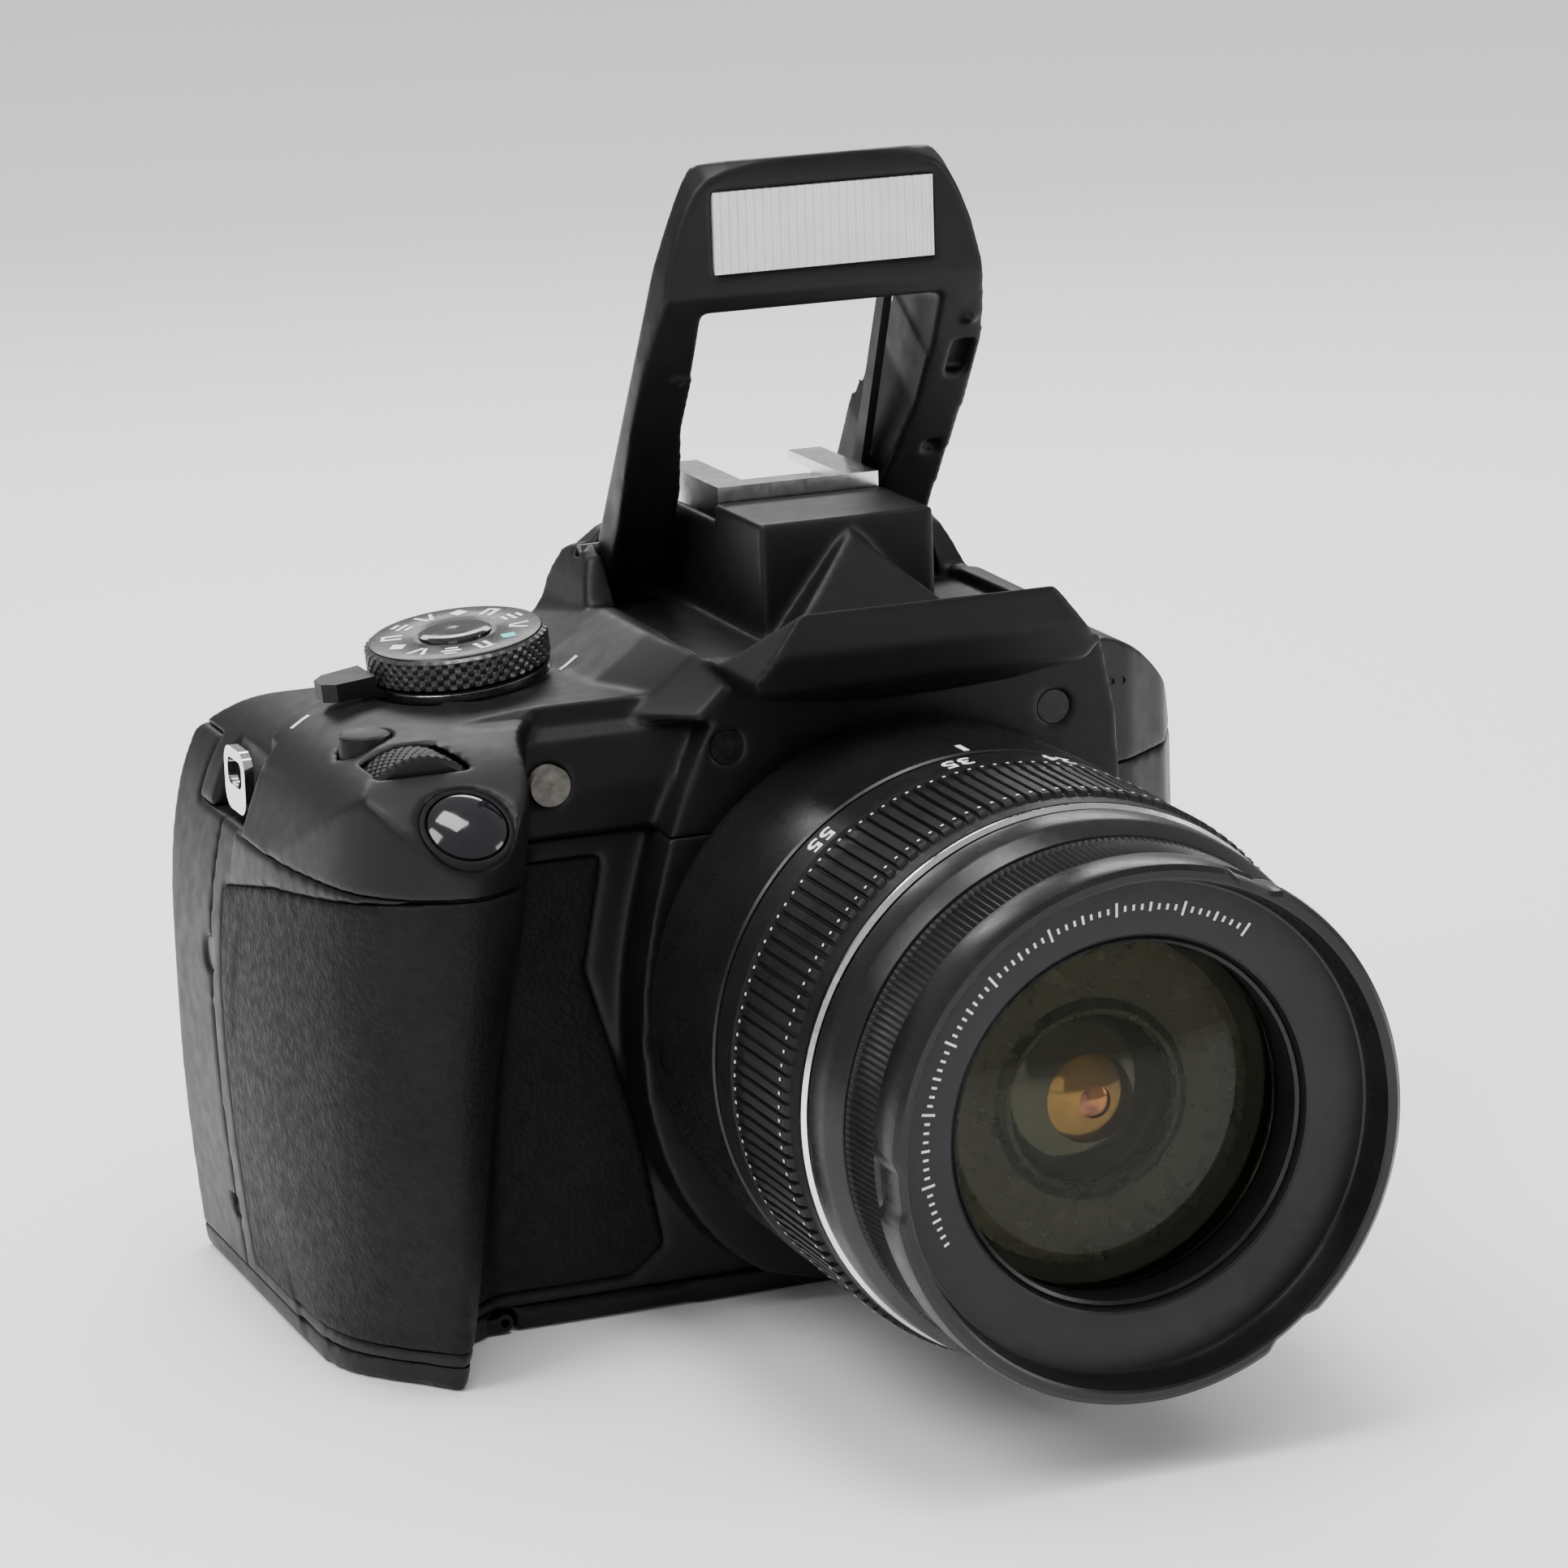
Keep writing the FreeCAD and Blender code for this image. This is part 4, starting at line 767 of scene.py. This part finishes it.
def make_mode_dial():
    """The knurled mode dial with its face, hub and signs, and the metal edge of the power ring."""
    foot, axis = joint_of("mode_dial_turn")
    radius, low, high = DIAL_RADIUS, DIAL_LOW, DIAL_HIGH
    wheel = knurled_wheel("mode_dial_knurl", foot, axis, radius, low + 0.1, high - 0.4, "knurl_black",
                          46, 5, 0.42)
    dress(wheel, "mode_dial", "mode_dial")
    plate = spun("mode_dial_plate", foot, axis, [
        (high - 0.7, radius - 0.9), (high - 0.35, radius - 0.55), (high - 0.1, radius - 0.75),
        (high, radius - 1.1), (high + 0.02, 5.4), (high - 0.2, 5.0), (high - 0.2, 0)], "lens_plastic", 160)
    dress(plate, "mode_dial", None)
    cap = spun("mode_dial_hub", foot, axis, [
        (high - 0.3, 4.6), (high + 0.2, 4.5), (high + 0.4, 4.1), (high + 0.5, 3.6), (high + 0.42, 1.0),
        (high + 0.35, 0)], "gloss_black")
    dress(cap, "mode_dial", "mode_dial_cap")
    side = axis.cross(Vector((0, 1, 0))).normalized()
    up = axis.cross(side)

    def on_top(px, py, h):
        """Onto the flat face of the dial."""
        return foot - side * px + up * -py + axis * (high + PRINT_LIFT + h)

    whites, teals = [], []
    for i in range(DIAL_SIGNS):
        turn = i * 360 / DIAL_SIGNS + 8
        angle = math.radians(turn)
        shapes = []
        for *lengths, tilt in DIAL_ICONS[i % len(DIAL_ICONS)]:
            shapes.append((*[SIGN_SCALE * v for v in lengths], tilt))
        x, y = SIGN_CIRCLE * math.cos(angle), SIGN_CIRCLE * math.sin(angle)
        icon = shifted(bars_mesh(shapes), x, y, turn - 90)
        (teals if i == TEAL_SIGN else whites).append(icon)
    dress(printed("dial_icons", whites, "print_white", on_top), "mode_dial", None)
    dress(printed("dial_icon_auto", teals, "print_teal", on_top), "mode_dial", None)
    ring = spun("power_ring_edge", foot, axis, [
        (0.1, 10.9), (0.1, 11.15), (0.35, 11.25), (1.0, 11.25), (1.3, 11.05), (1.3, 10.9)],
        "dark_chrome", 160)
    dress(ring, "power_lever", None)


def make_main_dial():
    """The knurled wheel behind the shutter button."""
    centre = middle("main_dial")
    low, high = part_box("main_dial")
    radius = (high.x - low.x) / 2 / MM
    half = (high.y - low.y) / 2 / MM
    wheel = knurled_wheel("main_dial_knurl", centre, (0, 1, 0), radius, -half + 0.3, half - 0.3,
                          "body_plastic", 48, 7, 0.35)
    dress(wheel, "main_dial", "main_dial")


def button_profile(radius, foot, top, crown, edge=0.45):
    """Side and softly domed or dished top of a round button."""
    points = [(foot, radius), (top - edge, radius)]
    points += [(top - edge * 0.4, radius - edge * 0.25), (top, radius - edge)]
    for k in range(1, 6):
        t = k / 5
        points.append((top + crown * (1 - (1 - t) ** 2), (radius - edge) * (1 - t)))
    return points


def make_buttons():
    """The shutter button with a dark ring in its recess as painted shade, the flash and lens release
    buttons, and the round ones behind.
    """
    profile = button_profile(4.85, -3.4, 0.55, 0.75, 0.8)
    piece = spun("shutter_button_cap", SHUTTER_PLACE, SHUTTER_AXIS, profile, "gloss_black")
    dress(piece, "shutter_button", "shutter_button")
    # painted shade: a dark rough ring fills the recess round the shutter button and stands in for the shade
    # there
    ring = spun("shutter_ring", SHUTTER_PLACE, SHUTTER_AXIS, [
        (-1.2, 5.0), (0.10, 5.0), (0.16, 5.3), (0.0, 5.62), (-1.2, 5.65)], "baffle_black")
    dress(ring, "camera", None)
    centre = middle("flash_button")
    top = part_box("flash_button")[1].z / MM
    profile = button_profile(3.15, top - 4.2, top, -0.2)
    piece = spun("flash_button_cap", (centre.x, centre.y, 0), (0, 0, 1), profile, "body_plastic")
    dress(piece, "flash_button", "flash_button")
    centre = middle("lens_release_button")
    low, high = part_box("lens_release_button")
    profile = button_profile(4.75, 0, (high.y - low.y) / MM, -0.3, 0.8)
    piece = spun("lens_release_cap", (centre.x, high.y / MM, centre.z), (0, -1, 0), profile, "gloss_black")
    dress(piece, "lens_release", "lens_release_button")
    for node in REAR_BUTTONS:
        centre = middle(node)
        low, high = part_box(node)
        profile = button_profile((high.x - low.x) / 2 / MM, 0, (high.y - low.y) / MM, -0.12)
        piece = spun(node + "_cap", (centre.x, low.y / MM, centre.z), (0, 1, 0), profile, "gloss_black")
        dress(piece, node, node)


def on_surface(node_piece, ray):
    """A wrap that drops a flat print along a ray direction onto a finished piece's own surface."""
    target = bpy.data.objects[node_piece]

    def wrap(x, y, h):
        start = Vector((x, y, 150)) if ray.z else Vector((x, -150, y))
        hit, place, normal, _ = target.ray_cast(start * MM, ray)
        return (place / MM if hit else start) + normal * (h + PRINT_LIFT)
    return wrap


def make_body_prints():
    """The dial's index bar, the two marks of the power lever, and dark discs at the microphone holes as
    painted shade of the holes.
    """
    down, inward = Vector((0, 0, -1)), Vector((0, 1, 0))
    marks = bars_mesh([(-32.6, 1.0, 2.4, 0.7, 5), (-67.8, 6.6, 2.6, 0.7, 8), (-66.8, 2.8, 2.4, 0.7, 8)])
    deck = printed("deck_marks", [marks], "print_white", on_surface("top_cover_moulded", down))
    dress(deck, "camera", None)
    for i, (x, z) in enumerate(MICROPHONE_HOLES):
        centre = on_surface("top_cover_moulded", inward)(x, z, -0.03)
        # painted shade: a small dark disc on the cover at each microphone hole stands in for the shade
        # inside the hole
        profile = [(-0.6, 0.5), (0.0, 0.5), (0.03, 0.4), (-0.3, 0.1)]
        shade_disc = spun(f"microphone_hole_{i}", centre, (0, -1, 0), profile, "baffle_black", 24)
        dress(shade_disc, "camera", None)


# CAD nodes that are shown as they are, and the finish of each
NODE_FINISH = {
    "lens_mount_ring": "steel",
    "tripod_socket": "steel",
    "hot_shoe": "trim_silver",
    "body_screws": "dark_screw",
    "flash_hinge_pins": "dark_screw",
    "strap_lugs": "chrome",
    "screen_window": "screen_glass",
    "screen_panel": "baffle_black",
    "red_eye_lamp": "lamp_grey",
    "eyepiece_lens": "clear_glass",
    "mirror_box": "baffle_black",
    "focal_plane_shutter": "baffle_black",
    "image_sensor": "sensor",
    "main_board": "circuit",
    "pentamirror": "mirror",
    "focusing_screen": "clear_glass",
    "battery_pack": "battery",
    "memory_card": "battery",
    "flash_capacitor": "trim_silver",
    "flash_window": "flash_glass",
    "flash_reflector": "chrome",
    "flash_tube": "lamp_white",
    "flash_link": "body_plastic",
    "power_lever": "body_plastic",
    "cross_keys": "gloss_black",
    "dioptre_knob": "body_plastic",
    "reflex_mirror": "mirror",
    "battery_door": "body_plastic",
    "battery_latch": "body_plastic",
    "terminal_cover": "grip_rubber",
    "focus_switch": "lens_plastic",
    "stabiliser_switch": "lens_plastic",
}


def finish_nodes():
    """Gives each shown CAD node its finish."""
    for node, finish in NODE_FINISH.items():
        mesh = frame["nodes"][node].data
        mesh.materials.clear()
        mesh.materials.append(FINISH[finish])
        by_angle(frame["nodes"][node], 30)


make_covers()
make_lens()
make_mode_dial()
make_main_dial()
make_buttons()
make_body_prints()
finish_nodes()
